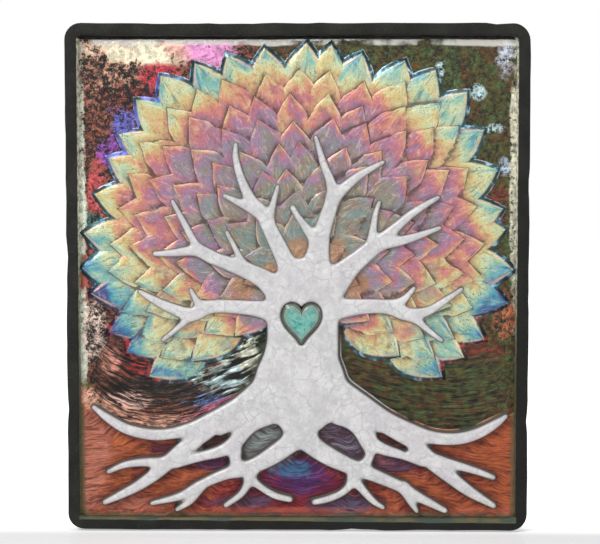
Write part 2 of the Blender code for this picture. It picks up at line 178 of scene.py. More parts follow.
def face_outwards():
    """Turn all faces of the mesh in edit mode outwards."""
    bpy.ops.mesh.select_all(action="SELECT")
    bpy.ops.mesh.normals_make_consistent(inside=False)


def smooth(obj, degrees):
    """Shade smoothly across all edges flatter than an angle."""
    only(obj)
    bpy.ops.object.shade_smooth_by_angle(angle=math.radians(degrees))


def finish_with(obj, kind, **settings):
    """Add a modifier with its settings and apply it."""
    only(obj)
    modifier = obj.modifiers.new(kind.lower(), kind)
    for name, value in settings.items():
        setattr(modifier, name, value)
    bpy.ops.object.modifier_apply(modifier=modifier.name)


def points_of(obj):
    """All vertices of a mesh as rows of x, y and z."""
    places = np.empty(3 * len(obj.data.vertices), np.float32)
    obj.data.vertices.foreach_get("co", places)
    return places.reshape(-1, 3).astype(float)


def move_points(obj, places):
    """Put the vertices of a mesh in new places, as a sculptor pushes clay."""
    obj.data.vertices.foreach_set("co", places.astype(np.float32).ravel())
    obj.data.update()


def mark(obj, name, values):
    """Write one number on every vertex, for a material to read."""
    layer = obj.data.attributes.get(name) or obj.data.attributes.new(name, "FLOAT", "POINT")
    layer.data.foreach_set("value", np.asarray(values, np.float32))


def triangle_count(obj):
    """How many triangles the faces of a mesh make."""
    return sum(len(face.vertices) - 2 for face in obj.data.polygons)


# %% [markdown]
# Clay is never quite even. Two kinds of unevenness are used: soft lumps, made by blending
# random values on a lattice, and pebbles, made from the distance to the nearest of many
# scattered points. Both are seeded, so that every run gives the same plaque.

# %% Unevenness


def between_four(table, row, column, up, across):
    """A value between four neighbours of a table, which starts again after its end."""
    above, beyond = (row + 1) % table.shape[0], (column + 1) % table.shape[1]
    row, column = row % table.shape[0], column % table.shape[1]
    lower = table[row, column] * (1 - across) + table[row, beyond] * across
    upper = table[above, column] * (1 - across) + table[above, beyond] * across
    return lower * (1 - up) + upper * up


def lumps(x, y, size, seed):
    """Smooth random values from -1 to 1, with lumps of about a given size."""
    lattice = np.random.default_rng(seed).uniform(-1, 1, (97, 97))
    across, up = x / size, y / size
    column, row = np.floor(across).astype(int), np.floor(up).astype(int)
    across, up = across - column, up - row
    across, up = across * across * (3 - 2 * across), up * up * (3 - 2 * up)
    return between_four(lattice, row, column, up, across)


def pebbles(x, y, size, seed):
    """How far each place is from the middle of its pebble, from 0 to about 1."""
    scatter = np.random.default_rng(seed).random((89, 89, 2))
    column, row = np.floor(x / size).astype(int), np.floor(y / size).astype(int)
    nearest = np.full(np.shape(x), 9.0)
    for step_x in (-1, 0, 1):
        for step_y in (-1, 0, 1):
            seat = scatter[(row + step_y) % 89, (column + step_x) % 89]
            away = np.hypot(x / size - column - step_x - seat[..., 0],
                            y / size - row - step_y - seat[..., 1])
            nearest = np.minimum(nearest, away)
    return nearest


def soft_step(values, low, high):
    """0 at low, 1 at high, and a smooth change between."""
    share = np.clip((values - low) / (high - low), 0, 1)
    return share * share * (3 - 2 * share)


# %% [markdown]
# ## The lines of the tree
#
# The tree is the one form that everything else answers to: the leaves lie behind it, and
# the streaks of the hills and the grain of the soil run along its roots. Each limb is a
# short list of points with the limb's width, thick end first, and a smooth curve runs
# through them. They are the same limbs that the solid was made from.

# %% The limbs, in millimetres from the middle: x, y and full width
LIMBS = {
    "trunk": [(3.5, -6, 34.5), (3, -14.5, 38.5), (3, -33.5, 38.8), (2, -47, 41.8), (1.5, -60, 51)],
    "left_low": [(-12, -18, 12), (-26, -16, 8), (-45.5, -15.2, 7.2), (-58, -19.4, 7),
                 (-69, -16.2, 5.5), (-79, -11.4, 4), (-86.5, -7, 2)],
    "left_low_up": [(-50, -15.5, 5.5), (-54.4, -13, 4), (-58.4, -6, 2)],
    "left_low_down": [(-53.5, -18.4, 5), (-59.2, -21.8, 3.5), (-66.8, -28.2, 2.8), (-74, -34, 2)],
    "left_mid": [(-9, -8, 14.5), (-19, 0.2, 10.4), (-31.5, 6, 8.4), (-45, 11, 6.8),
                 (-55.5, 15.2, 5.6), (-67.5, 14.2, 4), (-78, 13.6, 2.6)],
    "left_mid_up": [(-47, 12.2, 5), (-54.8, 18, 4.2), (-61.8, 30.5, 3.4), (-68.2, 42.5, 2)],
    "left_mid_twig": [(-29, 6.5, 4), (-33, 15, 3), (-38.5, 25.5, 2)],
    "left_high": [(-1, -2.5, 13), (-6.3, 9.5, 10), (-11.4, 20, 8.7), (-19.3, 36, 7.2),
                  (-25.5, 43.5, 6), (-30.5, 54.5, 4.5), (-33.5, 65.5, 3.5), (-33.5, 73.5, 2)],
    "left_high_out": [(-22.5, 37, 5.5), (-33.5, 42.5, 3.5), (-40, 45.5, 2)],
    "left_high_in": [(-16, 29.5, 5), (-12.5, 43.5, 3), (-10.5, 50.5, 2)],
    "middle_twig": [(12, 18.5, 7.5), (1.5, 32.5, 3.5), (-2.5, 39, 3)],
    "right_high": [(10, -0.5, 19.4), (11.2, 13, 12.6), (13.4, 24.5, 9.2), (16.8, 35.5, 8.2),
                   (19.5, 45, 7), (18, 53.5, 5), (14.5, 62.5, 4), (10, 77.5, 2)],
    "right_high_out": [(19.5, 44, 6.5), (32.8, 55.8, 4.5), (47, 63.8, 2)],
    "right_mid": [(16, -6, 19), (28.8, 6.6, 11.4), (39, 15.2, 9.4), (46, 21, 7.5),
                  (54.2, 28.5, 5.2), (62.4, 35.6, 4.2), (71, 41.2, 3.2), (77, 44.6, 2)],
    "right_mid_low": [(44, 19.2, 7), (55.5, 20.7, 5.2), (65, 23.3, 4), (78, 28, 2)],
    "right_mid_up": [(40.6, 21.5, 4.5), (42.6, 35, 3), (44.8, 42, 2)],
    "right_low": [(18.5, -17, 12), (35, -15.2, 8.4), (49, -15.4, 7.5), (60, -19.2, 6.8),
                  (71, -17.8, 5), (80, -12.4, 3.6), (90, -5.5, 2)],
    "right_low_up": [(50.5, -15, 5.5), (58, -11.5, 4), (64, -5, 2)],
    "right_low_down": [(58, -18.2, 5.5), (65.5, -22.8, 4), (72.9, -29, 3), (79.2, -33.8, 2)],
    "root_left_top": [(-16, -62.5, 19), (-31.5, -72, 13.5), (-46, -78, 9.5), (-57, -82.5, 7.5),
                      (-68.5, -85.4, 6), (-79.5, -86.2, 6), (-93, -83.5, 5.6), (-103.3, -77.8, 4.6),
                      (-112.2, -71, 2.2)],
    "root_left_mid": [(-19, -70, 15.5), (-38, -79, 10.5), (-53, -87.5, 8.5), (-65, -96, 8),
                      (-76.5, -106.5, 7), (-87.5, -114.5, 5.5), (-99, -120.5, 4),
                      (-106.5, -124, 2.5)],
    "root_left_twig": [(-73, -102, 6), (-83.5, -101.5, 4.5), (-95, -103, 3.5), (-104.5, -107, 2)],
    "root_left_in": [(-21.5, -82.5, 16.5), (-32, -89.5, 9.5), (-41.5, -95, 6.5),
                     (-54, -98.5, 5), (-66.5, -102, 5)],
    "root_left_link": [(-29.5, -86, 11), (-34, -96, 6.5), (-33, -106, 6.5)],
    "root_left_low": [(2, -83.5, 15.5), (-4.5, -91, 11), (-13.5, -97.5, 10), (-23.5, -103, 8),
                      (-41, -108.5, 6), (-54, -114.5, 5), (-65, -120.5, 4), (-80.5, -124.5, 2)],
    "root_left_low_twig": [(-54, -116, 4.5), (-59, -123, 3.5), (-66.5, -128, 2)],
    "root_left_end_a": [(-24.5, -106, 5.5), (-30, -118, 3.5), (-39.5, -125.5, 2.5)],
    "root_left_end_b": [(-26, -110.5, 4.5), (-19, -116, 3.5), (-12, -120, 3.5), (-4, -122, 3)],
    "root_right_top": [(20, -62.5, 18), (35, -70.2, 13), (48.8, -78, 9.8), (63.5, -84.1, 8),
                       (75.5, -87.6, 6.8), (88.5, -88, 6.4), (99.6, -84.9, 5.8), (108.4, -80, 4.5),
                       (114.8, -75.4, 2)],
    "root_right_mid": [(25.5, -69, 15.5), (43, -78, 10), (56, -86, 9), (65.4, -93.4, 9.2),
                       (75.6, -102, 8.6), (85, -109.8, 7.2), (94.8, -117.2, 5.8),
                       (108.2, -125.2, 2.8)],
    "root_right_twig": [(78, -100.5, 6), (88.5, -103, 4.5), (100, -106.5, 3.5),
                        (108, -109.5, 2.5)],
    "root_right_in": [(27, -82.5, 16.5), (39, -88, 8.5), (46.5, -93.5, 6.5), (58, -97, 5),
                      (68, -100.5, 5)],
    "root_right_link": [(36.5, -86, 10), (40, -96, 5), (36.5, -104, 6)],
    "root_right_low": [(2, -83.5, 15.5), (8, -91.5, 11), (17.5, -98, 10), (29, -103.4, 8.4),
                       (42, -108.3, 7), (57, -114.8, 5.8), (69, -121.6, 4.8), (81.5, -128, 2.8)],
    "root_right_low_twig": [(59, -115, 5), (62, -122, 4), (66, -128.5, 2)],
    "root_right_end_a": [(31.5, -106, 5.5), (29.5, -113, 4.5), (25, -118, 3.5),
                         (17.5, -121.5, 3.5), (9.5, -123.5, 3)],
    "root_right_end_b": [(31, -110.5, 5), (41, -122, 3.5), (47.5, -126.5, 2)],
}
WINDOWS = {
    "left": [(-26.5, -94, 8.5), (-19.8, -88.6, 11), (-12.5, -84, 8)],
    "right": [(18.6, -83.9, 8.5), (25.7, -88.4, 11.8), (31.4, -94.2, 8.4)],
    "left_slot": [(-51, -92.5, 3), (-44.4, -88, 3.8)],
    "right_slot": [(46.2, -87, 4.2), (59.6, -93.8, 3)],
}
WEB = 2.7
print(len(LIMBS), "limbs and", len(WINDOWS), "openings between roots")

# %% [markdown]
# A tree like this could be joined from tapered tubes, but the forks would come out as
# sharp creases, where the potter's are webbed and soft. So the limbs are turned into a map
# of distances: negative inside a limb, zero on its edge, positive outside. Two maps can be
# blended where they meet, which makes the soft webs, and one map later gives the tree's
# outline, its rounded shoulders and the lines that run beside it.

# %% The map of distances


def smooth_route(points, per_span=8):
    """A smooth curve through the points of a limb, widths included."""
    given = np.array(points, float)
    padded = np.vstack([2 * given[0] - given[1], given, 2 * given[-1] - given[-2]])
    route = []
    for index in range(1, len(padded) - 2):
        before, here, there, after = padded[index - 1:index + 3]
        for step in range(per_span):
            t = step / per_span
            route.append(0.5 * (2 * here + (there - before) * t
                                + (2 * before - 5 * here + 4 * there - after) * t ** 2
                                + (3 * here - before - 3 * there + after) * t ** 3))
    route.append(given[-1])
    return np.array(route)


def gap_to(start, end, x, y):
    """Distance to a straight stretch, and the share of it passed at the nearest point."""
    span = end[:2] - start[:2]
    share = np.clip(((x - start[0]) * span[0] + (y - start[1]) * span[1]) / (span @ span), 0, 1)
    return np.hypot(x - start[0] - share * span[0], y - start[1] - share * span[1]), share


def limb_distance(points, x, y):
    """Distance from every place to a limb of changing width, negative inside it."""
    route = smooth_route(points)
    nearest = np.full(x.shape, 1e3)
    for start, end in zip(route, route[1:]):
        gap, share = gap_to(start, end, x, y)
        nearest = np.minimum(nearest, gap - 0.5 * (start[2] + share * (end[2] - start[2])))
    return nearest


def blended(first, second, web):
    """The smaller of two distances, rounded where they are nearly the same."""
    share = np.clip(0.5 + 0.5 * (second - first) / web, 0, 1)
    return second * (1 - share) + first * share - web * share * (1 - share)


def distance_map(step, reach):
    """The tree's distances on a grid, right up to a reach outside it, with the grid."""
    given = np.array([point for points in LIMBS.values() for point in points])
    columns = np.arange(given[:, 0].min() - 12, given[:, 0].max() + 12, step)
    rows = np.arange(given[:, 1].min() - 12, given[:, 1].max() + 12, step)
    tree = np.full((len(rows), len(columns)), float(reach))
    openings = [(points, -1) for points in WINDOWS.values()]
    for points, sign in [(points, 1) for points in LIMBS.values()] + openings:
        near = np.array(points)
        margin = near[:, 2].max() / 2 + reach + WEB
        across = slice(*np.searchsorted(columns, (near[:, 0].min() - margin, near[:, 0].max() + margin)))
        up = slice(*np.searchsorted(rows, (near[:, 1].min() - margin, near[:, 1].max() + margin)))
        x, y = np.meshgrid(columns[across], rows[up])
        limb = limb_distance(points, x, y)
        if sign > 0:
            tree[up, across] = blended(tree[up, across], limb, WEB)
        else:
            tree[up, across] = -blended(-tree[up, across], limb, 0.5 * WEB)
    return tree, columns, rows


def read_map(tree, columns, rows, x, y):
    """The distance at any place, read off the map."""
    across = np.clip((x - columns[0]) / (columns[1] - columns[0]), 0, len(columns) - 1.001)
    up = np.clip((y - rows[0]) / (rows[1] - rows[0]), 0, len(rows) - 1.001)
    column, row = across.astype(int), up.astype(int)
    return between_four(tree, row, column, up - row, across - column)


def rubbed(values, times):
    """A map smoothed with its neighbours, as a wet finger rounds small nicks."""
    for _ in range(times):
        for axis in (0, 1):
            values = 0.5 * values + 0.25 * (np.roll(values, 1, axis) + np.roll(values, -1, axis))
    return values


MAP_STEP = 0.5
tree_map, map_columns, map_rows = distance_map(MAP_STEP, 3.0)
tree_map = rubbed(tree_map, 3)
wide_map = distance_map(2.0, 60.0)
print("the tree covers", round(float((tree_map < 0).sum()) * MAP_STEP ** 2 / 100), "square centimetres")

# %% [markdown]
# ## The slab
#
# The slab starts as a cube. Its four long corners are bevelled round, its front face is
# inset to the width of the border and pushed back in to make the tray of the picture, and
# its rims are bevelled again, because clay edges are wiped with a sponge before firing.

# %% Model the slab
HALF_WIDTH = (cad_high.x - cad_low.x) / 2
HALF_HEIGHT = (cad_high.z - cad_low.z) / 2
BORDER_FRONT = GROUND + BORDER_RISE
RIM_ROUNDING = 0.0014
TRAY_FLOOR = GROUND - 0.0012

slab = start_from(bpy.ops.mesh.primitive_cube_add, "clay_slab", size=2,
                  location=(0, -BORDER_FRONT / 2, 0),
                  scale=(HALF_WIDTH, BORDER_FRONT / 2, HALF_HEIGHT))

edit(slab, "EDGE")
pick(slab, "edges", lambda edge: abs(edge.verts[0].co.y - edge.verts[1].co.y) > 0.5 * BORDER_FRONT)
bpy.ops.mesh.bevel(offset=CORNER_RADIUS, segments=7, affect="EDGES")
bpy.ops.mesh.select_all(action="DESELECT")
bpy.ops.mesh.select_mode(type="FACE")
pick(slab, "faces", lambda face: face.normal.y < -0.9)
bpy.ops.mesh.inset(thickness=BORDER_WIDTH - BORDER_SLOPE)
extrude(BORDER_FRONT - TRAY_FLOOR)
lean = 1 - BORDER_SLOPE / (HALF_WIDTH - BORDER_WIDTH)
bpy.ops.transform.resize(value=(lean, 1, lean), center_override=(0, 0, 0))
bpy.ops.mesh.select_all(action="DESELECT")
bpy.ops.mesh.select_mode(type="EDGE")


def on_rim(edge):
    """Whether an edge runs round the plaque on its front or its back face."""
    flat = abs(edge.verts[0].co.y - edge.verts[1].co.y) < 1e-6
    height = -edge.verts[0].co.y
    shut = len(edge.link_faces) == 2 and edge.calc_face_angle(0) > 0.5
    return flat and shut and (height < 1e-6 or height > BORDER_FRONT - 1e-6)


picked = pick(slab, "edges", on_rim)
bpy.ops.mesh.bevel(offset=RIM_ROUNDING, segments=4, affect="EDGES")
done()
print("the slab has", len(slab.data.polygons), "faces after", picked, "rim edges were rounded")

# %% [markdown]
# To bend the long straight sides a little out of true, they need points along them. The
# slab is cut through by planes a few millimetres apart, and then every point near the outer
# edge is pushed in by a slow wave and a finer one, and by a few chips, each with a place,
# a width and a depth. Nothing is pushed out, because the plaque may not grow.

# %% Let the hand-cut edges wander
CUT_SPACING = 0.006
EDGE_WANDER = 0.0009
CHIPS = [(0.1105, 0.1395, 0.004, 0.0012), (-0.127, 0.012, 0.006, 0.0007), (0.127, -0.078, 0.005, 0.0009),
         (-0.127, -0.071, 0.004, 0.0008), (-0.075, 0.1395, 0.007, 0.0005), (0.127, 0.052, 0.006, 0.0006),
         (0.03, -0.1395, 0.005, 0.0006), (0.122, 0.134, 0.008, 0.0009)]

edit(slab)
for half, direction in ((HALF_WIDTH, (1, 0, 0)), (HALF_HEIGHT, (0, 0, 1))):
    cuts = int(2 * half / CUT_SPACING)
    for cut in range(1, cuts):
        at = -half + 2 * half * cut / cuts
        bpy.ops.mesh.select_all(action="SELECT")
        bpy.ops.mesh.bisect(plane_co=tuple(at * value for value in direction), plane_no=direction)
done()

places = points_of(slab)
turn = np.arctan2(places[:, 2], places[:, 0])
edge_share = np.maximum(np.abs(places[:, 0]) / HALF_WIDTH, np.abs(places[:, 2]) / HALF_HEIGHT)
run = 420 * turn / math.pi + 200
wander = 0.45 * lumps(run, 0 * run + 8, 19, 1) + 0.6 * lumps(run, -places[:, 1] / MM + 40, 7, 2)
push = EDGE_WANDER * np.clip(0.5 + 0.6 * wander, 0, 1) * soft_step(edge_share, 0.9, 0.99)
for chip_x, chip_z, width, depth in CHIPS:
    gone = np.hypot(places[:, 0] - chip_x, places[:, 2] - chip_z) / width
    push += depth * np.exp(-gone ** 2)
length = np.hypot(places[:, 0], places[:, 2]) + 1e-9
places[:, 0] -= push * places[:, 0] / length
places[:, 2] -= push * places[:, 2] / length
uneven = lumps(places[:, 0] / MM, places[:, 2] / MM, 7, 3)
on_border = (places[:, 1] < -BORDER_FRONT + 0.0004) & (edge_share > 0.9)
places[:, 1] += np.where(on_border, 0.0002 * (uneven + 1), 0)
move_points(slab, places)
print("the edge wanders by up to", round(float(push.max()) / MM, 2), "mm")

# %% [markdown]
# The slot in the back takes the head of a nail. It is cut with a Boolean modifier, the
# cleanest way to take a box out of a finished form, and the box is thrown away afterwards.

# %% Cut the hanging slot
SLOT_SIZE = (0.024, 0.0065, 0.009)
SLOT_CEILING = 0.0995

cutter = start_from(bpy.ops.mesh.primitive_cube_add, "cutter", size=1,
                    location=(0, 0, SLOT_CEILING - SLOT_SIZE[2] / 2),
                    scale=(SLOT_SIZE[0], 2 * SLOT_SIZE[1], SLOT_SIZE[2]))
finish_with(slab, "BOOLEAN", object=cutter, operation="DIFFERENCE", solver="EXACT")
bpy.data.objects.remove(cutter)
smooth(slab, 35)
print("the slab has", triangle_count(slab), "triangles")

# %% [markdown]
# ## The ground of the picture
#
# Behind the tree the clay is stippled all over with small pebble-like bumps, and below the
# crown it turns into two hills whose carved streaks run beside the trunk and the roots. A
# grid with a point every 0.8 mm can carry both as real relief. The soil below the roots
# gets a finer grid of its own, because its grain is thinner.

# %% The line of the soil and the edge of the crown


def soil_line(x):
    """The height, on the picture, of the line between the hills and the soil."""
    left = [(px, py - 1) for px, py, _ in reversed(LIMBS["root_left_top"])]
    right = [(px, py - 1) for px, py, _ in LIMBS["root_right_top"]]
    line = np.array([(-140, -64)] + left + [(0, -62)] + right + [(140, -66)])
    return np.interp(x, line[:, 0], line[:, 1])


CROWN_CENTRE = (0.0, 8.0)
CROWN_RADIUS = 119.0
CROWN_LOW_RADIUS = 103.0
CROWN_ENDS = (-38.0, 217.0)
CROWN_END_SPREAD = 18.0
CROWN_BULGES = [(46, 14), (132, 7)]
CROWN_BULGE_SPREAD = 17.0


def crown_edge(degrees):
    """How far the crown reaches from its centre in a direction."""
    low, high = CROWN_ENDS
    from_end = np.maximum(np.minimum(degrees - low, high - degrees), 0) / CROWN_END_SPREAD
    edge = CROWN_RADIUS - (CROWN_RADIUS - CROWN_LOW_RADIUS) * np.exp(-from_end ** 2)
    for middle, swell in CROWN_BULGES:
        edge = edge + swell * np.exp(-((degrees - middle) / CROWN_BULGE_SPREAD) ** 2)
    return edge


print("the soil starts", soil_line(0.0), "mm below the middle, under the trunk")

# %% [markdown]
# On the real plaque the ground is the slab's own clay, worked while it was wet. Cutting the
# slab's front face finely enough would also cut the border, so each part of the ground is a
# sheet of its own, with walls and a flat back, sunk a little into the tray.

# %% A sheet of relief, closed at the back
SHEET_HALF_WIDTH = 120.2
SHEET_HALF_HEIGHT = 132.6
SHEET_BACK = TRAY_FLOOR - 0.0003
FIELD_SPACING = 0.8
SOIL_SPACING = 0.6


def relief_sheet(name, low, high, spacing, keep, rise_of):
    """A grid over part of the picture, raised by a rule, with walls and a flat back."""
    across = round((high[0] - low[0]) / spacing)
    up = round((high[1] - low[1]) / spacing)
    sheet = start_from(bpy.ops.mesh.primitive_grid_add, name, x_subdivisions=across,
                       y_subdivisions=up, size=1, rotation=(math.pi / 2, 0, 0))
    places = points_of(sheet)
    x = low[0] + (places[:, 0] + 0.5) * (high[0] - low[0])
    y = low[1] + (places[:, 2] + 0.5) * (high[1] - low[1])
    rise, marks = rise_of(x, y)
    move_points(sheet, np.column_stack([x * MM, -(GROUND + rise * MM), y * MM]))
    for mark_name, values in marks.items():
        mark(sheet, mark_name, values)
    kept = keep(x, y)
    edit(sheet, "VERT")
    pick(sheet, "verts", lambda vert: not kept[vert.index])
    bpy.ops.mesh.delete(type="VERT")
    bpy.ops.mesh.select_non_manifold()
    extrude(GROUND)
    mesh_data = bmesh.from_edit_mesh(sheet.data)
    for vert in mesh_data.verts:
        if vert.select:
            vert.co.y = -SHEET_BACK
    bmesh.update_edit_mesh(sheet.data)
    bpy.ops.mesh.edge_face_add()
    done()
    smooth(sheet, 60)
    return sheet


# %% [markdown]
# The stipple is pressed in bump by bump, so it is made from pebbles. The streaks of the
# hills are combed, so they are lumps drawn out sideways along a line that keeps to the
# slope of the roots. A small cove of clay stays where the hills meet the trunk.

# %% Raise the stipple and the streaks of the hills


def field_rise(x, y):
    """The relief of the ground in millimetres, and what its glaze needs to know."""
    beside = read_map(*wide_map, x, y)
    slope = np.where(x < 0, 0.85, 0.4)
    above = y - slope * soil_line(x) + 1.6 * lumps(x, y, 21, 6) + 0.5 * lumps(x, y, 6, 7)
    hill = soft_step(-y, 28, 44) * soft_step(118 - np.abs(x), 0, 16)
    stipple = 0.62 - pebbles(x, y, 1.9, 4) + 0.25 * lumps(x, y, 0.9, 5)
    streak = 0.75 * lumps(0.16 * x + 30, above, 1.15, 8) + 0.5 * lumps(0.3 * x, above, 0.8, 9)
    rise = 0.34 * stipple * (1 - 0.7 * hill) + 0.42 * streak * hill
    cove = 0.7 * np.exp(-np.maximum(beside, 0) / 0.8) * hill
    marks = {"height": rise, "hill": hill, "beside": beside, "above": above,
             "over_root": y - soil_line(x)}
    return rise + cove, marks


field = relief_sheet("stippled_ground", (-SHEET_HALF_WIDTH, -90),
                     (SHEET_HALF_WIDTH, SHEET_HALF_HEIGHT), FIELD_SPACING,
                     lambda x, y: y > soil_line(x) - 1.5, field_rise)
print("the stippled ground has", triangle_count(field), "triangles")

# %% [markdown]
# The grain of the soil is scratched with a fine comb that swerves round the roots. So the
# lumps are drawn out along it, and the distance to the nearest root bends them. A raised
# line marks where the soil starts.

# %% Carve the grain of the soil


def soil_rise(x, y):
    """The relief of the soil in millimetres: grain that flows round the roots."""
    beside = read_map(*wide_map, x, y)
    flow = 0.85 * y + 0.45 * np.minimum(beside, 7) + 1.9 * lumps(x, y, 22, 11) + 0.5 * lumps(x, y, 7, 12)
    grain = 0.7 * lumps(0.1 * x + 25, flow, 0.95, 13) + 0.5 * lumps(0.22 * x + 40, flow, 0.6, 14)
    rise = 0.24 * grain + 0.25 * lumps(x, y, 11, 15)
    edge = np.exp(-((y - soil_line(x)) / 1.6) ** 2) * soft_step(beside, 0.5, 2)
    return rise + 0.35 * edge + 0.3, {"edge": edge, "flow": flow, "beside": beside}


soil = relief_sheet("carved_soil", (-SHEET_HALF_WIDTH, -SHEET_HALF_HEIGHT),
                    (SHEET_HALF_WIDTH, -60), SOIL_SPACING,
                    lambda x, y: y < soil_line(x) + 1.2, soil_rise)
print("the soil has", triangle_count(soil), "triangles")

# %% [markdown]
# ## The leaves
#
# One leaf is modelled and then copied. It starts as a small grid, is narrowed to a pointed
# oval, raised along its middle and towards its tip, and its rim is pulled down and out into
# the clay. The outermost leaves have a wider sloping wall than the others, so there are two
# model leaves.

# %% Model one leaf
LEAF_LENGTH = 31.0
LEAF_WIDTH = 22.0
LEAF_TILT = 1.4
LEAF_PILLOW = 0.75
OUTER_OUTLINE = [(0, 0.36), (0.17, 0.46), (0.34, 0.5), (0.5, 0.46), (0.68, 0.345), (0.84, 0.185), (1, 0)]
INNER_OUTLINE = [(0, 0.36), (0.17, 0.46), (0.34, 0.49), (0.5, 0.465), (0.64, 0.39), (0.76, 0.275),
                 (0.86, 0.15), (0.93, 0.065), (1, 0)]
OUTER_WALL = [(0.45, 0.6, 1.54), (1.0, 9.0, 2.86)]
INNER_WALL = [(0.45, 0.2, 0.5), (0.7, 0.5, 0.35), (1.0, 8.6, 0.05)]
FOOT_DEPTH = 1.0


def model_leaf(name, outline, walls):
    """A leaf with its tip at the origin, pointing up the picture, in millimetres."""
    leaf = start_from(bpy.ops.mesh.primitive_grid_add, name, x_subdivisions=10,
                      y_subdivisions=15, size=1, rotation=(math.pi / 2, 0, 0))
    places = points_of(leaf)
    across = 2 * places[:, 0]
    along = np.clip(places[:, 2] + 0.5, 0, 1)
    along = 1 - (1 - along) ** 1.12
    shares = np.array(outline)
    half = np.interp(along, shares[:, 0], shares[:, 1]) * LEAF_WIDTH
    across = np.sign(across) * np.abs(across) ** 0.8
    rounding = LEAF_PILLOW * (np.abs(across) ** 3.2) * np.minimum(half / 4, 1)
    end = LEAF_PILLOW * soft_step(along, 0.86, 1.0)
    midrib = 0.1 * np.exp(-(across * half / 0.9) ** 2) * soft_step(half, 0.5, 3)
    rise = -LEAF_TILT * (1 - along) - rounding - 0.5 * end - midrib
    move_points(leaf, np.column_stack([across * half, -rise, (along - 1) * LEAF_LENGTH]))
    mark(leaf, "across", across)
    mark(leaf, "along", along)
    mark(leaf, "wall", np.zeros(len(along)))
    edit(leaf, "VERT")
    bpy.ops.mesh.select_all(action="SELECT")
    bpy.ops.mesh.remove_doubles(threshold=0.01)
    for share, drop, lean in walls:
        bpy.ops.mesh.select_all(action="DESELECT")
        bpy.ops.mesh.select_non_manifold()
        extrude(drop)
        mesh_data = bmesh.from_edit_mesh(leaf.data)
        wall = mesh_data.verts.layers.float["wall"]
        for vert in mesh_data.verts:
            if vert.select:
                outwards = Vector((vert.co.x, 0, 0.5 * (vert.co.z + 0.55 * LEAF_LENGTH)))
                vert.co += outwards.normalized() * lean
                vert[wall] = share
        bmesh.update_edit_mesh(leaf.data)
    bpy.ops.mesh.edge_face_add()
    face_outwards()
    done()
    return leaf


inner_leaf = model_leaf("inner_leaf", INNER_OUTLINE, INNER_WALL)
outer_leaf = model_leaf("outer_leaf", OUTER_OUTLINE, OUTER_WALL)
print("one leaf has", triangle_count(inner_leaf), "triangles")

# %% [markdown]
# The leaves lie in rows round a point above the trunk, every row half a step on from the
# last, and each row overlaps the one outside it. A few seeded random shifts keep the rows
# from looking printed. Every copy carries a random tone, so that the lustre can break from
# leaf to leaf as it does on the real glaze. The crown is a little narrower than it is tall.

# %% Lay the leaves in rows
LEAF_SPACING = 19.0
LEAF_ROW_STEP = 13.0
LEAF_ROWS = 8
LEAF_TIP_RISE = 2.8
LEAF_ROW_LIFT = 0.12
LEAF_ROW_ENDS = (-0.06, 0.20)
CROWN_SQUEEZE = 0.976

chance = random.Random(7)
tones = random.Random(21)
leaves = []
layout = []
for row in range(LEAF_ROWS):
    inwards = row * LEAF_ROW_STEP
    start = CROWN_ENDS[0] + LEAF_ROW_ENDS[0] * inwards
    end = CROWN_ENDS[1] + LEAF_ROW_ENDS[1] * inwards
    count = round(math.radians(end - start) * (CROWN_RADIUS - inwards) / LEAF_SPACING)
    step = (end - start) / count
    for index in range(count + 1 - row % 2):
        degrees = start + (index + 0.5 * (row % 2)) * step + chance.uniform(-0.12, 0.12) * step
        reach = float(crown_edge(degrees)) - inwards + chance.uniform(-2.0, 2.0)
        turn = math.radians(degrees)
        width = chance.uniform(0.92, 1.08)
        bend = chance.uniform(-0.1, 0.1)
        at_end = index in (0, count - row % 2)
        leaf = (outer_leaf if at_end or row == 0 else inner_leaf).copy()
        leaf.data = leaf.data.copy()
        bpy.context.scene.collection.objects.link(leaf)
        places = points_of(leaf)
        tip_rise = LEAF_TIP_RISE + row * LEAF_ROW_LIFT
        heights = places[:, 1] - tip_rise
        lean_to = turn + bend - math.pi / 2
        along_leaf = 1 + places[:, 2] / LEAF_LENGTH
        x = places[:, 0] * width + tones.uniform(-2.6, 2.2) * along_leaf ** 2
        heights = heights + 0.3 * lumps(places[:, 0] + 60 * tones.random(), places[:, 2] + 40, 5.5, 22)
        tip_x = CROWN_CENTRE[0] + CROWN_SQUEEZE * reach * math.cos(turn)
        tip_y = CROWN_CENTRE[1] + reach * math.sin(turn)
        heights = np.minimum(heights, FOOT_DEPTH + 0.002 * index)
        across = tip_x + x * math.cos(lean_to) - places[:, 2] * math.sin(lean_to)
        up = tip_y + x * math.sin(lean_to) + places[:, 2] * math.cos(lean_to)
        move_points(leaf, np.column_stack([across * MM, -(GROUND - heights * MM), up * MM]))
        mark(leaf, "tone", np.full(len(places), tones.random()))
        mark(leaf, "outer", np.full(len(places), 1.0 if at_end or row == 0 else 0.0))
        leaves.append(leaf)
        layout.append((row, tip_x, tip_y, lean_to, width))
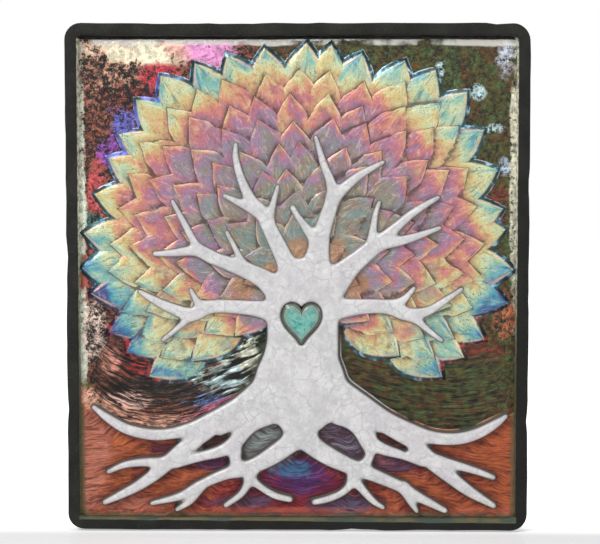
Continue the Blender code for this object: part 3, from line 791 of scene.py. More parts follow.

# %% [markdown]
# Where a leaf dips under the leaves of the next row it is painted darker, as shade in the
# crease. So every point is measured against the outlines of the leaves above it.

# %% Mark how far a leaf lies under others
shares = np.array(INNER_OUTLINE)
for leaf, (own_row, own_x, own_y, *_) in zip(leaves, layout):
    places = points_of(leaf) / MM
    covered = np.full(len(places), -9.0)
    for row, tip_x, tip_y, lean_to, width in layout:
        if row <= own_row or math.hypot(tip_x - own_x, tip_y - own_y) > 45:
            continue
        across = (places[:, 0] - tip_x) * math.cos(lean_to) + (places[:, 2] - tip_y) * math.sin(lean_to)
        up = (places[:, 2] - tip_y) * math.cos(lean_to) - (places[:, 0] - tip_x) * math.sin(lean_to)
        half = np.interp(1 + up / LEAF_LENGTH, shares[:, 0], shares[:, 1]) * LEAF_WIDTH * width
        inside = half - np.abs(across)
        inside = np.where(up > 0, -np.hypot(across, up), inside)
        covered = np.maximum(covered, inside)
    mark(leaf, "under", soft_step(covered, -3.6, 0.6) * soft_step(covered, 4.5, 2.0))

# %% [markdown]
# Pressed into the clay, the leaves are one surface with one glaze. Joining them makes one
# mesh of them, and the two model leaves have done their work and go.

# %% Join the leaves
for pattern in (inner_leaf, outer_leaf):
    bpy.data.objects.remove(pattern)
bpy.ops.object.select_all(action="DESELECT")
for leaf in leaves:
    leaf.select_set(True)
crown = leaves[0]
bpy.context.view_layer.objects.active = crown
bpy.ops.object.join()
crown.name = "leaf_crown"
smooth(crown, 50)
print(len(leaves), "leaves,", triangle_count(crown), "triangles")

# %% [markdown]
# ## The heart
#
# A heart sits in a groove on the trunk. Its outline is a formula. The same outline, a
# little larger, is taken out of the tree's map of distances, so that the tree gets a
# rounded hollow there, and the heart itself stands in the hollow on a dark floor.

# %% The outline of the heart
HEART_CENTRE = (2.3, -24.6)
HEART_SIZE = (19.0, 20.0)
GROOVE_WIDTH = 2.0


def heart_outline(width, height, count=64):
    """Points round a heart of a given size, centred on the middle of its height."""
    points = []
    for index in range(count):
        turn = 2 * math.pi * index / count
        x = math.copysign(abs(math.sin(turn)) ** 2.5, math.sin(turn))
        y = (13 * math.cos(turn) - 5 * math.cos(2 * turn) - 2 * math.cos(3 * turn)
             - math.cos(4 * turn)) / 16
        points.append((HEART_CENTRE[0] + x * width / 2, HEART_CENTRE[1] + (y + 0.16) * height / 1.81))
    return np.array(points)


def distance_to_outline(outline, x, y):
    """Distance to a closed outline, negative inside it."""
    nearest = np.full(x.shape, 1e3)
    inside = np.zeros(x.shape, bool)
    for start, end in zip(outline, np.roll(outline, -1, 0)):
        nearest = np.minimum(nearest, gap_to(start, end, x, y)[0])
        crosses = (start[1] > y) != (end[1] > y)
        at = start[0] + (y - start[1]) / (end[1] - start[1] + 1e-12) * (end[0] - start[0])
        inside ^= crosses & (at > x)
    return np.where(inside, -nearest, nearest)


map_x, map_y = np.meshgrid(map_columns, map_rows)
groove = distance_to_outline(heart_outline(*HEART_SIZE), map_x, map_y) - GROOVE_WIDTH
tree_map = np.maximum(tree_map, -groove)
print("the groove takes", round(float((groove < 0).sum()) * MAP_STEP ** 2), "square millimetres")

# %% [markdown]
# The heart is modelled like a small cushion. A flat disc takes the shape of the dark floor,
# is extruded and shrunk to the edge of the heart, and then rises in smaller and smaller
# steps, each drawn in a little, which rounds it off without any sculpting.

# %% Model the heart
GROOVE_FLOOR = 3.9
HEART_STEPS = [(0.5, 0.97), (0.35, 0.96), (0.22, 0.93), (0.14, 0.86), (0.07, 0.8), (0.03, 0.6)]

heart = start_from(bpy.ops.mesh.primitive_circle_add, "heart", vertices=64, radius=1,
                   fill_type="NGON", rotation=(math.pi / 2, 0, 0))
floor_margin = 2 * GROOVE_WIDTH + 3
outline = heart_outline(HEART_SIZE[0] + floor_margin, HEART_SIZE[1] + floor_margin)
order = np.argsort(np.arctan2(points_of(heart)[:, 0], points_of(heart)[:, 2]) % (2 * math.pi))
places = points_of(heart)
places[order, 0] = outline[:, 0]
places[order, 1] = -GROOVE_FLOOR
places[order, 2] = outline[:, 1]
move_points(heart, places)
edit(heart)
bpy.ops.mesh.select_all(action="SELECT")
middle = (HEART_CENTRE[0], 0, HEART_CENTRE[1])
extrude(-0.001)
shrink = 1.06 * HEART_SIZE[0] / (HEART_SIZE[0] + floor_margin)
for lift, scale in [(0, shrink)] + HEART_STEPS:
    extrude(-lift)
    bpy.ops.transform.resize(value=(scale, 1, scale), center_override=middle)
face_outwards()
done()
places = points_of(heart)
rises = -places[:, 1]
mark(heart, "edge", distance_to_outline(heart_outline(*HEART_SIZE), places[:, 0], places[:, 2]))
move_points(heart, np.column_stack([places[:, 0] * MM, -(GROUND + rises * MM), places[:, 2] * MM]))
smooth(heart, 60)
print("the heart rises to", round(float(rises.max()), 2), "mm above the ground")

# %% [markdown]
# ## The tree
#
# The tree's surface is laid over its map of distances like contour lines on a hill. The
# outline on the ground is the lowest line, and each line further in lies a little higher,
# until the shoulder turns into the nearly flat top. The lines and a scatter of points on
# top are joined by triangles, and the rim is extruded down into the clay to close it.

# %% Trace contour lines


def contour(field_map, level):
    """Closed lines where the map crosses a level, walked from cell to cell of its grid."""
    inside = field_map < level
    corners_in = (inside[:-1, :-1].astype(int) + inside[:-1, 1:] + inside[1:, 1:] + inside[1:, :-1])
    links, spots = {}, {}
    for row, column in np.argwhere((corners_in > 0) & (corners_in < 4)):
        corners = [(row, column), (row, column + 1), (row + 1, column + 1), (row + 1, column)]
        leaving, entering = [], []
        for index in range(4):
            first, second = corners[index], corners[(index + 1) % 4]
            if inside[first] != inside[second]:
                edge = tuple(sorted((first, second)))
                share = (level - field_map[edge[0]]) / (field_map[edge[1]] - field_map[edge[0]])
                spots[edge] = (map_columns[edge[0][1]] + share * MAP_STEP * (edge[1][1] - edge[0][1]),
                               map_rows[edge[0][0]] + share * MAP_STEP * (edge[1][0] - edge[0][0]))
                (leaving if inside[first] else entering).append(edge)
        links.update(zip(entering, leaving))
    lines = []
    while links:
        start, following = links.popitem()
        line = [spots[start]]
        while following != start:
            line.append(spots[following])
            following = links.pop(following)
        lines.append(np.array(line))
    return lines


def even_line(line, spacing):
    """A closed line with points a given way apart."""
    closed = np.vstack([line, line[:1]])
    run = np.concatenate([[0], np.cumsum(np.hypot(*np.diff(closed, axis=0).T))])
    count = max(int(run[-1] / spacing), 8)
    at = np.linspace(0, run[-1], count, endpoint=False)
    return np.column_stack([np.interp(at, run, closed[:, 0]), np.interp(at, run, closed[:, 1])])


print("the tree's outline has", len(contour(tree_map, 0.0)), "closed lines")

# %% [markdown]
# A regular grid would leave steps along every limb, as stairs run across a slope. A
# Delaunay triangulation keeps the contour lines as edges, so the outline stays clean. Its
# triangles between the limbs are left out by counting crossings of the outline.

# %% Build the tree from its contour lines
TREE_RISE = 5.5
CONTOURS = [(0.9, 0.0), (0.3, 2.6), (0.0, 3.9), (-0.3, 4.55), (-0.75, 5.0), (-1.4, 5.28), (-2.3, 5.42)]
LINE_SPACING = 0.85
TOP_SPACING = 2.6


def build_tree():
    """The tree's top, joined from contour lines, closed by walls and a floor."""
    spots, rises, edges, rim = [], [], [], []
    for level, rise in CONTOURS:
        for line in contour(tree_map, level):
            if len(line) < 10:
                continue
            line = even_line(line, LINE_SPACING)
            first, count = len(spots), len(line)
            spots += [Vector(spot) for spot in line]
            rises += [rise] * count
            edges += [(first + index, first + (index + 1) % count) for index in range(count)]
            if level == CONTOURS[0][0]:
                rim.append(line)
    x, y = np.meshgrid(np.arange(-118, 118, TOP_SPACING), np.arange(-130, 84, TOP_SPACING))
    x = x + 0.5 * lumps(x, y, 1.7, 31)
    y = y + 0.5 * lumps(x, y, 1.7, 32)
    deep = read_map(tree_map, map_columns, map_rows, x, y) < CONTOURS[-1][0] - 1.0
    for spot in np.column_stack([x[deep], y[deep]]):
        spots.append(Vector(spot))
        rises.append(TREE_RISE - 0.12 + 0.1 * float(lumps(*spot, 9, 33)))
    flat, _, faces, sources, _, _ = delaunay_2d_cdt(spots, edges, [], 0, 1e-5)
    starts = np.vstack(rim)
    ends = np.vstack([np.roll(line, -1, 0) for line in rim])
    mesh_data = bmesh.new()
    verts = [mesh_data.verts.new(place(spot.x, spot.y, rises[source[0]] * MM if source else 0))
             for spot, source in zip(flat, sources)]
    for face in faces:
        middle_x = sum(flat[index].x for index in face) / 3
        middle_y = sum(flat[index].y for index in face) / 3
        crosses = (starts[:, 1] > middle_y) != (ends[:, 1] > middle_y)
        start, end = starts[crosses], ends[crosses]
        at = start[:, 0] + (middle_y - start[:, 1]) / (end[:, 1] - start[:, 1]) * (end[:, 0] - start[:, 0])
        if np.count_nonzero(at > middle_x) % 2:
            mesh_data.faces.new([verts[index] for index in face])
    bmesh.ops.delete(mesh_data, geom=[vert for vert in mesh_data.verts if not vert.link_faces],
                     context="VERTS")
    mesh = bpy.data.meshes.new("tree")
    mesh_data.to_mesh(mesh)
    mesh_data.free()
    made = bpy.data.objects.new("tree", mesh)
    bpy.context.scene.collection.objects.link(made)
    return made


tree = build_tree()
edit(tree, "VERT")
bpy.ops.mesh.select_non_manifold()
extrude(0.0008)
face_outwards()
done()
smooth(tree, 75)
print("the tree has", triangle_count(tree), "triangles")

# %% [markdown]
# ## Glazes
#
# Each glaze is worked out from where a place is on the plaque and from the numbers marked
# on the mesh. Writing the sums as Python expressions keeps them readable: a Value wraps
# the output of a node, and adding or multiplying two Values adds a Math node. A Recipe
# starts from one colour and lays others over it, layer by layer, as glazes are applied.

# %% A small language for materials


class Value:
    """The output of a node, which can be used in sums."""

    def __init__(self, recipe, socket):
        self.recipe = recipe
        self.socket = socket

    def sum_with(self, operation, first, second):
        """A Math node with two inputs."""
        return self.recipe.add("ShaderNodeMath", {"operation": operation}, {0: first, 1: second})

    def __add__(self, other):
        return self.sum_with("ADD", self, other)

    def __radd__(self, other):
        return self.sum_with("ADD", other, self)

    def __sub__(self, other):
        return self.sum_with("SUBTRACT", self, other)

    def __rsub__(self, other):
        return self.sum_with("SUBTRACT", other, self)

    def __mul__(self, other):
        return self.sum_with("MULTIPLY", self, other)

    def __rmul__(self, other):
        return self.sum_with("MULTIPLY", other, self)

    def __truediv__(self, other):
        return self.sum_with("DIVIDE", self, other)

    def __pow__(self, other):
        return self.sum_with("POWER", self, other)

    def unsigned(self):
        """The value without its sign."""
        return self.recipe.add("ShaderNodeMath", {"operation": "ABSOLUTE"}, {0: self})

    def between(self, low, high):
        """0 where the value is low, 1 where it is high, and a smooth change between."""
        return self.recipe.add("ShaderNodeMapRange", {"interpolation_type": "SMOOTHSTEP"},
                               {"Value": self, "From Min": low, "From Max": high})


class Recipe:
    """One glaze: a material whose nodes are added by name."""

    def __init__(self, name, roughness, metallic=0.0, coat=0.0):
        self.material = bpy.data.materials.new(name)
        self.material.use_nodes = True
        self.nodes = self.material.node_tree.nodes
        self.shader = self.nodes["Principled BSDF"]
        self.shader.inputs["Roughness"].default_value = roughness
        self.shader.inputs["Metallic"].default_value = metallic
        self.shader.inputs["Coat Weight"].default_value = coat
        self.shader.inputs["Coat Roughness"].default_value = 0.12
        self.colour = None

    def add(self, kind, settings, sockets, output=0):
        """Add a node: its settings first, then the values or links of its sockets."""
        node = self.nodes.new(kind)
        for name, value in settings.items():
            if name == "stops":
                ramp = node.color_ramp
                while len(ramp.elements) < len(value):
                    ramp.elements.new(0.5)
                for element, (position, colour) in zip(ramp.elements, value):
                    element.position = position
                    element.color = colour
            else:
                setattr(node, name, value)
        for key, value in sockets.items():
            if isinstance(value, Value):
                self.material.node_tree.links.new(value.socket, node.inputs[key])
            else:
                node.inputs[key].default_value = value
        return Value(self, node.outputs[output])

    def feed(self, name, value):
        """Link a Value to the shader."""
        self.material.node_tree.links.new(value.socket, self.shader.inputs[name])

    def coordinates(self):
        """The place on the plaque, and its x, y and z, in millimetres."""
        spot = self.add("ShaderNodeTexCoord", {}, {}, "Object")
        spot = self.add("ShaderNodeVectorMath", {"operation": "SCALE"}, {0: spot, "Scale": 1 / MM})
        return [spot] + [self.add("ShaderNodeSeparateXYZ", {}, {0: spot}, axis) for axis in range(3)]

    def attribute(self, name):
        """A number marked on the mesh."""
        return self.add("ShaderNodeAttribute", {"attribute_name": name}, {}, "Fac")

    def point(self, x, y, z):
        """A place made of three values, for noise that is drawn out or bent."""
        return self.add("ShaderNodeCombineXYZ", {}, {0: x, 1: y, 2: z})

    def noise(self, spot, size, detail=2.0, distortion=0.0, roughness=0.5):
        """Cloudy values from 0 to 1, in lumps of a size in millimetres."""
        return self.add("ShaderNodeTexNoise", {}, {"Vector": spot, "Scale": 1 / size, "Detail": detail,
                                                   "Distortion": distortion, "Roughness": roughness})

    def cell_edges(self, spot, size):
        """How far a place is from the edge of its cell, in cells of a size in millimetres."""
        return self.add("ShaderNodeTexVoronoi", {"feature": "DISTANCE_TO_EDGE"},
                        {"Vector": spot, "Scale": 1 / size})

    def mix(self, factor, first, second):
        """Two colours mixed."""
        return self.add("ShaderNodeMix", {"data_type": "RGBA"}, {0: factor, 6: first, 7: second}, 2)

    def layer(self, cover, paint):
        """Lay a colour over the glaze so far, as much as the cover says."""
        self.colour = self.mix(cover, self.colour, paint)

    def ramp(self, value, stops):
        """The colour that belongs to a value."""
        return self.add("ShaderNodeValToRGB", {"stops": stops}, {0: value})

    def patch(self, x, z, middle, size, ragged=0.0):
        """1 in the middle of an oval patch of the picture, fading to 0 at its edge."""
        across = (x - middle[0]) / size[0]
        up = (z - middle[1]) / size[1]
        return (across * across + up * up + ragged).between(1.0, 0.25)

    def bump(self, height, depth):
        """Fine relief, with its depth in metres."""
        return self.add("ShaderNodeBump", {}, {"Height": height, "Distance": depth, "Strength": 1.0})


def tint(red, green, blue):
    """A colour given in the steps of a screen, from 0 to 255, as the shader wants it."""
    steps = [value / 255 for value in (red, green, blue)]
    return tuple(v / 12.92 if v <= 0.04045 else ((v + 0.055) / 1.055) ** 2.4 for v in steps) + (1.0,)


def wear(obj, recipe):
    """Give a piece its one glaze."""
    obj.data.materials.clear()
    obj.data.materials.append(recipe.material)


# %% [markdown]
# The bare clay of the border, the sides and the back is black with smoke, dull, and a
# little paler where it was rubbed; towards the lower right it is painted darker, as shade.
# Inside the border the glaze of the picture climbs the sloping wall: cream at the top of
# the picture, olive towards the bottom. At the foot it creeps over the border's inner edge,
# and along the top edge the wall faces down and is painted dark, as shade.

# %% Smoked clay
clay = Recipe("smoked_clay", roughness=0.72)
clay.shader.inputs["Specular IOR Level"].default_value = 0.3
spot, x, y, z = clay.coordinates()
cloud = clay.noise(spot, 14.0, 4.0)
grit = clay.noise(spot, 0.8, 3.0)
bare = clay.mix(cloud.between(0.35, 0.7), tint(17, 17, 15), tint(34, 34, 30))
bare = clay.mix(grit.between(0.6, 0.7) * 0.3, bare, tint(78, 78, 70))
bare = clay.mix(grit.between(0.36, 0.28) * 0.5, bare, tint(18, 18, 18))
# Painted shade: the bare clay is darker towards the lower right, away from the lamp.
bare = clay.mix((x - z).between(-60.0, 180.0) * 0.6, bare, tint(7, 8, 6))
wide = x.unsigned()
tall = z.unsigned()
in_side = wide.between(120.4, 119.9) * tall.between(132.9, 132.4)
below_face = y.between(-13.7, -13.0) * y.between(-7.0, -7.6)
strip = clay.mix(z.between(-60.0, 40.0), tint(92, 90, 68), tint(214, 212, 190))
strip = clay.mix(z.between(-128.0, -131.0), strip, tint(58, 54, 40))
strip = clay.mix(clay.noise(spot, 2.4, 3.0).between(0.45, 0.58) * 0.7, strip, tint(66, 70, 50))
# Painted shade: the top wall faces down and is painted dark.
strip = clay.mix(z.between(130.4, 131.4), strip, tint(20, 20, 18))
foot_line = z + 0.0065 * x + 1.4 * (cloud - 0.5)
creep = foot_line.between(-134.3, -133.8) * z.between(-131.0, -132.0)
creep = creep * wide.between(120.8, 120.2) * y.between(-11.0, -12.0)
olive = clay.mix(cloud.between(0.42, 0.58), tint(104, 98, 72), tint(70, 84, 74))
clay.colour = clay.mix(in_side * below_face, bare, strip)
clay.layer(creep * 0.85, olive)
clay.feed("Base Color", clay.colour)
glazed = (creep + in_side * below_face).between(0.2, 0.8)
clay.feed("Roughness", 0.74 - 0.4 * glazed + 0.12 * (cloud - 0.5))
clay.feed("Normal", clay.bump(clay.noise(spot, 1.3, 5.0), 0.00035))
wear(slab, clay)

# %% [markdown]
# The ground carries a dark metallic lustre: brown-red and black on the left, olive on the
# right. The tops of its bumps are painted with flashes of peach, pink, blue and silver:
# partly the lustre's own colours, partly painted highlights of the lamps. The flashes
# keep to certain places, so each gets a soft patch of its own.

# %% Lustre of the ground and the hills
ground = Recipe("ground_lustre", roughness=0.3, metallic=0.75)
spot, x, y, z = ground.coordinates()
height = ground.attribute("height")
hill = ground.attribute("hill")
beside = ground.attribute("beside")
above = ground.attribute("above")
over_root = ground.attribute("over_root")
cloud = ground.noise(spot, 16.0, 3.0)
middling = ground.noise(spot, 4.5, 3.0)
ragged = (cloud - 0.5) * 2.4 + (middling - 0.5) * 1.6
left = (x + 90 * (cloud - 0.5)).between(12.0, -32.0)
flow_spot = ground.point(x * 0.15, above, 3.0)
streaks = ground.noise(flow_spot, 1.6, 3.0, 0.8, 0.75)
broad = ground.patch(x, z, (-34, -46), (26, 26), ragged)
streaks = streaks * (1 - broad) + broad * ground.noise(flow_spot, 2.4, 3.0, 0.5)
stipple = 0.25 * height + ground.noise(spot, 2.1, 3.0, roughness=0.8)
grain = stipple * (1 - hill) + streaks * hill

night = ground.mix(left, tint(30, 32, 16), tint(22, 12, 11))
night = ground.mix(middling.between(0.42, 0.58) * 0.8, night,
                   ground.mix(left, tint(52, 58, 30), tint(22, 26, 14)))
shine = ground.mix(left, tint(98, 92, 48), tint(170, 104, 84))
shine = ground.mix(cloud.between(0.46, 0.56) * x.between(-40, 10), shine, tint(112, 78, 44))
shine = ground.mix(middling.between(0.5, 0.62) * 0.8, shine,
                   ground.mix(left, tint(78, 104, 66), tint(120, 56, 52)))
amount = 0.36 - 0.1 * left
# Patches of lustre colour and painted highlight, each with its middle, size, colour and strength.
LUSTRE_AND_HIGHLIGHT_PATCHES = [
    ((-98, 112), (24, 26), tint(226, 172, 144), 0.22),
    ((-84, 123), (32, 9), tint(255, 244, 212), 1.15),
    ((-62, 126), (14, 8), tint(250, 190, 176), 0.85),
    ((-47, 124), (17, 11), tint(236, 160, 210), 0.8),
    ((-86, 98), (30, 12), tint(190, 92, 82), 0.25),
    ((-77, 111), (16, 8), tint(220, 76, 92), 0.5),
    ((-74, 98), (12, 10), tint(196, 66, 112), 0.4),
    ((-96, 86), (10, 12), tint(122, 122, 216), 0.5),
    ((-103, 71), (9, 12), tint(166, 96, 196), 0.45),
    ((-110, 50), (7, 18), tint(220, 96, 100), 0.6),
    ((-113, 28), (8, 9), tint(90, 160, 150), 0.3),
    ((-118.5, 10), (3.4, 130), tint(232, 238, 218), 0.8),
    ((-117, 4), (5, 12), tint(112, 132, 62), 0.4),
    ((-117, -62), (5, 7), tint(104, 120, 58), 0.4),
    ((-112, 4), (9, 20), tint(186, 96, 90), 0.3),
    ((-112, -30), (8, 18), tint(248, 220, 204), 0.36),
    ((-84, -49), (17, 7), tint(210, 66, 74), 0.36),
    ((-103, -46), (8, 9), tint(240, 166, 146), 0.42),
    ((-30, 131.4), (78, 2.2), tint(226, 232, 240), 0.65),
    ((114, 122), (8, 15), tint(226, 232, 246), 0.5),
    ((79, 115), (4, 5), tint(206, 236, 238), 0.42),
    ((97, 102), (6, 5), tint(206, 236, 238), 0.42),
    ((108, 82), (6, 4), tint(206, 236, 238), 0.42),
    ((113, 61), (4, 6), tint(196, 214, 232), 0.4),
    ((84, 126), (5, 60), tint(92, 112, 70), 0.2),
    ((118.5, 60), (3, 92), tint(240, 236, 212), 0.55),
    ((108, 40), (8, 14), tint(150, 60, 52), 0.3),
    ((113, -20), (7, 16), tint(196, 116, 82), 0.3),
    ((102, -40), (16, 6), tint(150, 62, 54), 0.35),
    ((-29, -40), (19, 17), tint(248, 252, 228), 0.38),
    ((-42, -56), (22, 10), tint(218, 248, 248), 0.42),
    ((-56, -52), (14, 7), tint(206, 236, 214), 0.36),
    ((-52, -67), (17, 5), tint(110, 150, 216), 0.42),
    ((-16, -50), (7, 24), tint(92, 122, 84), 0.15),
    ((-78, -62), (34, 10), tint(132, 84, 68), 0.12),
    ((-92, -68), (15, 6), tint(250, 200, 184), 0.46),
]
for middle, size, flash, more in LUSTRE_AND_HIGHLIGHT_PATCHES:
    near = ground.patch(x, z, middle, size, ragged)
    shine = ground.mix(near, shine, flash)
    amount = amount + near * (more - 0.3)
root_glow = (over_root + 3.0 * (cloud - 0.5)).between(12.5, 8.0) * x.between(20.0, -30.0)
shine = ground.mix(root_glow, shine, ground.mix(x.between(-74.0, -50.0), tint(250, 186, 160),
                                                tint(206, 110, 136)))
amount = amount + root_glow * 0.16
shine = ground.mix(middling.between(0.6, 0.38) * 0.45, shine, tint(60, 48, 40))
# Painted highlights: the tops of the bumps take the bright colours, with a softer halo round them.
spark = (grain + amount * 0.32).between(0.61, 0.71)
halo = (grain + amount * 0.3).between(0.53, 0.62)
ground.colour = ground.mix(halo * 0.6, night, ground.mix(0.45, shine, night))
ground.layer(spark, shine)
deep = (grain + amount * 0.2).between(0.5, 0.42)
ground.layer(deep * 0.85, tint(10, 9, 8))
trunk_band = beside.between(5.0, 1.5) * hill * streaks.between(0.42, 0.55)
trunk_band = trunk_band * (1 - root_glow)
ground.layer(trunk_band * 0.6, ground.mix(left, tint(52, 50, 42), tint(64, 88, 62)))
# Painted highlight: a broken silver and salmon line beside the trunk's foot on the right, where the glaze
# pools.
painted_pool_highlight = beside.between(0.9, 1.3) * beside.between(2.0, 1.6) * x.between(10.0, 20.0)
painted_pool_highlight = painted_pool_highlight * cloud.between(0.36, 0.5) * hill
ground.layer(painted_pool_highlight * 0.55, ground.mix(x.between(44.0, 60.0), tint(224, 224, 230), tint(244, 170, 140)))
# Painted highlight: a pale line along the top of the field, below the border.
painted_top_highlight = (z + 3.0 * (cloud - 0.5)).between(126.6, 127.8) * cloud.between(0.36, 0.5)
ground.layer(painted_top_highlight * 0.75, tint(222, 220, 212))
# Painted shade: a dark line along the top edge of the field, under the border.
ground.layer((z + 1.2 * (cloud - 0.5)).between(130.0, 130.7), tint(24, 24, 21))
ground.feed("Base Color", ground.colour)
ground.feed("Roughness", 0.24 + 0.3 * middling)
ground.feed("Metallic", 0.35 + 0.4 * spark)
ground.feed("Normal", ground.bump(grain, 0.0009))
wear(field, ground)

# %% [markdown]
# Copper in the glaze of the soil comes out of the smoke orange and red, darker in the
# carved grain. Towards the middle it turns crimson, and under the trunk it flashes blue.
# The two windows between the roots are cooler and greener. Next to the roots the soil is
# painted darker as shade, and the light streaks of the grain, the raised line where the
# soil starts and a line along its foot are painted highlights.

# %% Copper glaze of the soil
copper = Recipe("copper_soil", roughness=0.36, metallic=0.5)
spot, x, y, z = copper.coordinates()
edge = copper.attribute("edge")
flow = copper.attribute("flow")
beside = copper.attribute("beside")
cloud = copper.noise(spot, 15.0, 4.0, 0.6)
fine = copper.noise(spot, 3.0, 4.0, 0.4)
flow_spot = copper.point(x * 0.09, flow, 8.0)
grain = 0.5 * copper.noise(flow_spot, 1.7, 3.0, 0.5) + 0.5 * copper.noise(flow_spot, 0.7, 3.0, 0.3)
SOIL_STOPS = [
    (0.32, tint(112, 48, 40)), (0.44, tint(152, 72, 48)), (0.54, tint(190, 102, 56)),
    (0.64, tint(180, 92, 66)), (0.74, tint(128, 46, 46)),
]
copper.colour = copper.ramp(cloud, SOIL_STOPS)
copper.layer(x.between(60.0, 105.0) * 0.6, tint(176, 88, 50))
ragged = (fine - 0.5) * 1.4 + (cloud - 0.5) * 1.2
SOIL_FLASHES = [
    ((-4, -121), (66, 20), tint(142, 32, 44)),
    ((0, -112), (40, 14), tint(130, 22, 60)),
    ((-30, -124), (24, 5), tint(92, 66, 92)),
    ((-118, -100), (18, 34), tint(184, 110, 88)),
    ((-92, -125), (28, 5), tint(184, 108, 88)),
    ((0, -108), (21, 15), tint(70, 32, 98)),
    ((-4, -106), (14, 7), tint(46, 108, 150)),
    ((0, -97.5), (9, 4), tint(58, 34, 54)),
    ((-57, -103), (16, 3.5), tint(60, 26, 66)),
    ((57, -104), (14, 4), tint(74, 48, 76)),
    ((-40, -102), (20, 6), tint(86, 48, 104)),
    ((-72, -95), (14, 4), tint(104, 48, 70)),
    ((48, -102), (22, 7), tint(100, 72, 102)),
    ((28, -125), (26, 7), tint(84, 78, 104)),
    ((-20, -89), (24, 20), tint(142, 160, 156)),
    ((26, -89), (24, 20), tint(92, 86, 108)),
    ((-47, -90), (8, 6), tint(86, 62, 62)),
    ((54, -91), (9, 6), tint(84, 58, 60)),
]
for middle, size, flash in SOIL_FLASHES:
    copper.layer(copper.patch(x, z, middle, size, ragged), flash)
# Painted shade: the soil is darker within a few millimetres of the roots.
copper.layer(beside.between(6.0, 0.8) * 0.45, tint(80, 28, 34))
copper.layer(grain.between(0.51, 0.42) * 0.62, tint(62, 24, 26))
scratches = copper.noise(flow_spot, 0.4, 2.0, 0.3)
copper.layer(scratches.between(0.48, 0.38) * 0.5, tint(70, 30, 30))
# Painted highlights: the light streaks of the grain and scratches, paler at the far left and silver-grey
# in the windows.
far_left = (x + 60 * (cloud - 0.5) + 30 * (fine - 0.5)).between(-86.0, -112.0)
lit = copper.mix(far_left, tint(208, 114, 72), tint(224, 156, 132))
lit = copper.mix(copper.patch(x, z, (0, -112), (46, 20), ragged), lit, tint(150, 96, 132))
painted_window_highlight = z.between(-99.0, -97.0) * beside.between(6.0, 5.5)
painted_window_highlight = painted_window_highlight * (x * x).between(1400.0, 1300.0)
lit = copper.mix(painted_window_highlight, lit, tint(190, 194, 196))
copper.layer(grain.between(0.53, 0.64) * 0.36, lit)
copper.layer(scratches.between(0.56, 0.66) * 0.2, lit)
# Painted highlight: peach along the raised line where the soil starts.
copper.layer(edge * fine.between(0.35, 0.55) * 0.85, tint(238, 176, 150))
# Painted shade: a dark line right at the foot of the roots.
copper.layer(beside.between(1.6, 0.2) * 0.6, tint(52, 26, 28))
# Painted highlight: a broken salmon line where the soil meets the bottom wall.
painted_foot_highlight = (z + 1.5 * (cloud - 0.5)).between(-126.0, -127.6) * z.between(-130.6, -129.2)
copper.layer(painted_foot_highlight * cloud.between(0.4, 0.62) * 0.4, tint(206, 112, 90))
low = (z + 4.0 * (fine - 0.5) + 3.0 * (cloud - 0.5)).between(-129.0, -131.4)
copper.layer(low * 0.6, copper.mix(cloud.between(0.42, 0.58), tint(116, 112, 84), tint(74, 104, 94)))
side = (x.unsigned() + 2.0 * (fine - 0.5)).between(116.8, 118.2)
copper.layer(side * 0.8, tint(116, 104, 76))
copper.feed("Base Color", copper.colour)
copper.feed("Roughness", 0.32 + 0.2 * fine)
copper.feed("Normal", copper.bump(copper.noise(spot, 1.0, 4.0), 0.00035))
wear(soil, copper)

# %% [markdown]
# The lustre on the leaves is a thin film, like oil on water. Its colour follows its
# thickness, from grey-green through rose, gold and pale green to cyan, blue and violet.
# So the recipe works out one number, the film, mostly from the distance to the middle of
# the crown, and one ramp turns it into colour. Tips and single leaves run ahead or behind.

# %% Lustre of the leaves
lustre = Recipe("leaf_lustre", roughness=0.34, metallic=0.3, coat=0.25)
spot, x, y, z = lustre.coordinates()
tone = lustre.attribute("tone")
along = lustre.attribute("along")
across = lustre.attribute("across")
wall = lustre.attribute("wall")
outer = lustre.attribute("outer")
up = z - CROWN_CENTRE[1]
reach = (x * x + up * up) ** 0.5
wide = x.unsigned()
side = across.unsigned()
cloud = lustre.noise(spot, 17.0, 3.0, 0.5)
fine = lustre.noise(spot, 3.6, 4.0, 0.6)
leaf_spot = lustre.point(across * 0.9, along * 2.2, tone * 37)
patchy = lustre.noise(leaf_spot, 1.0, 1.5, 0.6)
wrinkle_spot = lustre.point(across * 5.5, along * 3.4, tone * 61)
wrinkles = lustre.noise(wrinkle_spot, 1.0, 3.0, 1.2)
film = 0.03 + 0.34 * lustre.ramp(reach / 120, [(0.16, (0, 0, 0, 1)), (0.68, (1, 1, 1, 1))])
film = film + 0.32 * reach.between(87.0, 116.0)
low_side = up.between(30.0, -34.0) * reach.between(20.0, 58.0)
film = film + low_side * (0.36 - 0.16 * reach.between(88.0, 112.0))
film = film + 0.14 * wide.between(84.0, 108.0) * up.between(50.0, 0.0)
film = film + 0.05 * wide.between(70.0, 105.0) * up.between(70.0, 20.0)
film = film - 0.2 * x.between(76.0, 100.0) * up.between(44.0, 6.0)
film = film - 0.15 * x.between(-86.0, -108.0) * up.between(-24.0, 0.0)
film = film - 0.04 * x.between(10.0, 60.0) * reach.between(90.0, 70.0)
inner = reach.between(106.0, 60.0)
under = lustre.attribute("under")
tip = (along + 0.3 * (patchy - 0.5)).between(0.66, 0.98)
long_way = (along - 0.6) / 0.34
heart_of_leaf = (across * across + long_way * long_way).between(1.0, 0.1)
film = film + 0.16 * tip * inner * (1 - 0.8 * low_side) - 0.09 * heart_of_leaf * inner
film = film + 0.26 * (cloud - 0.5) + 0.5 * (patchy - 0.5) + 0.12 * (fine - 0.5) + 0.12 * (tone - 0.5)
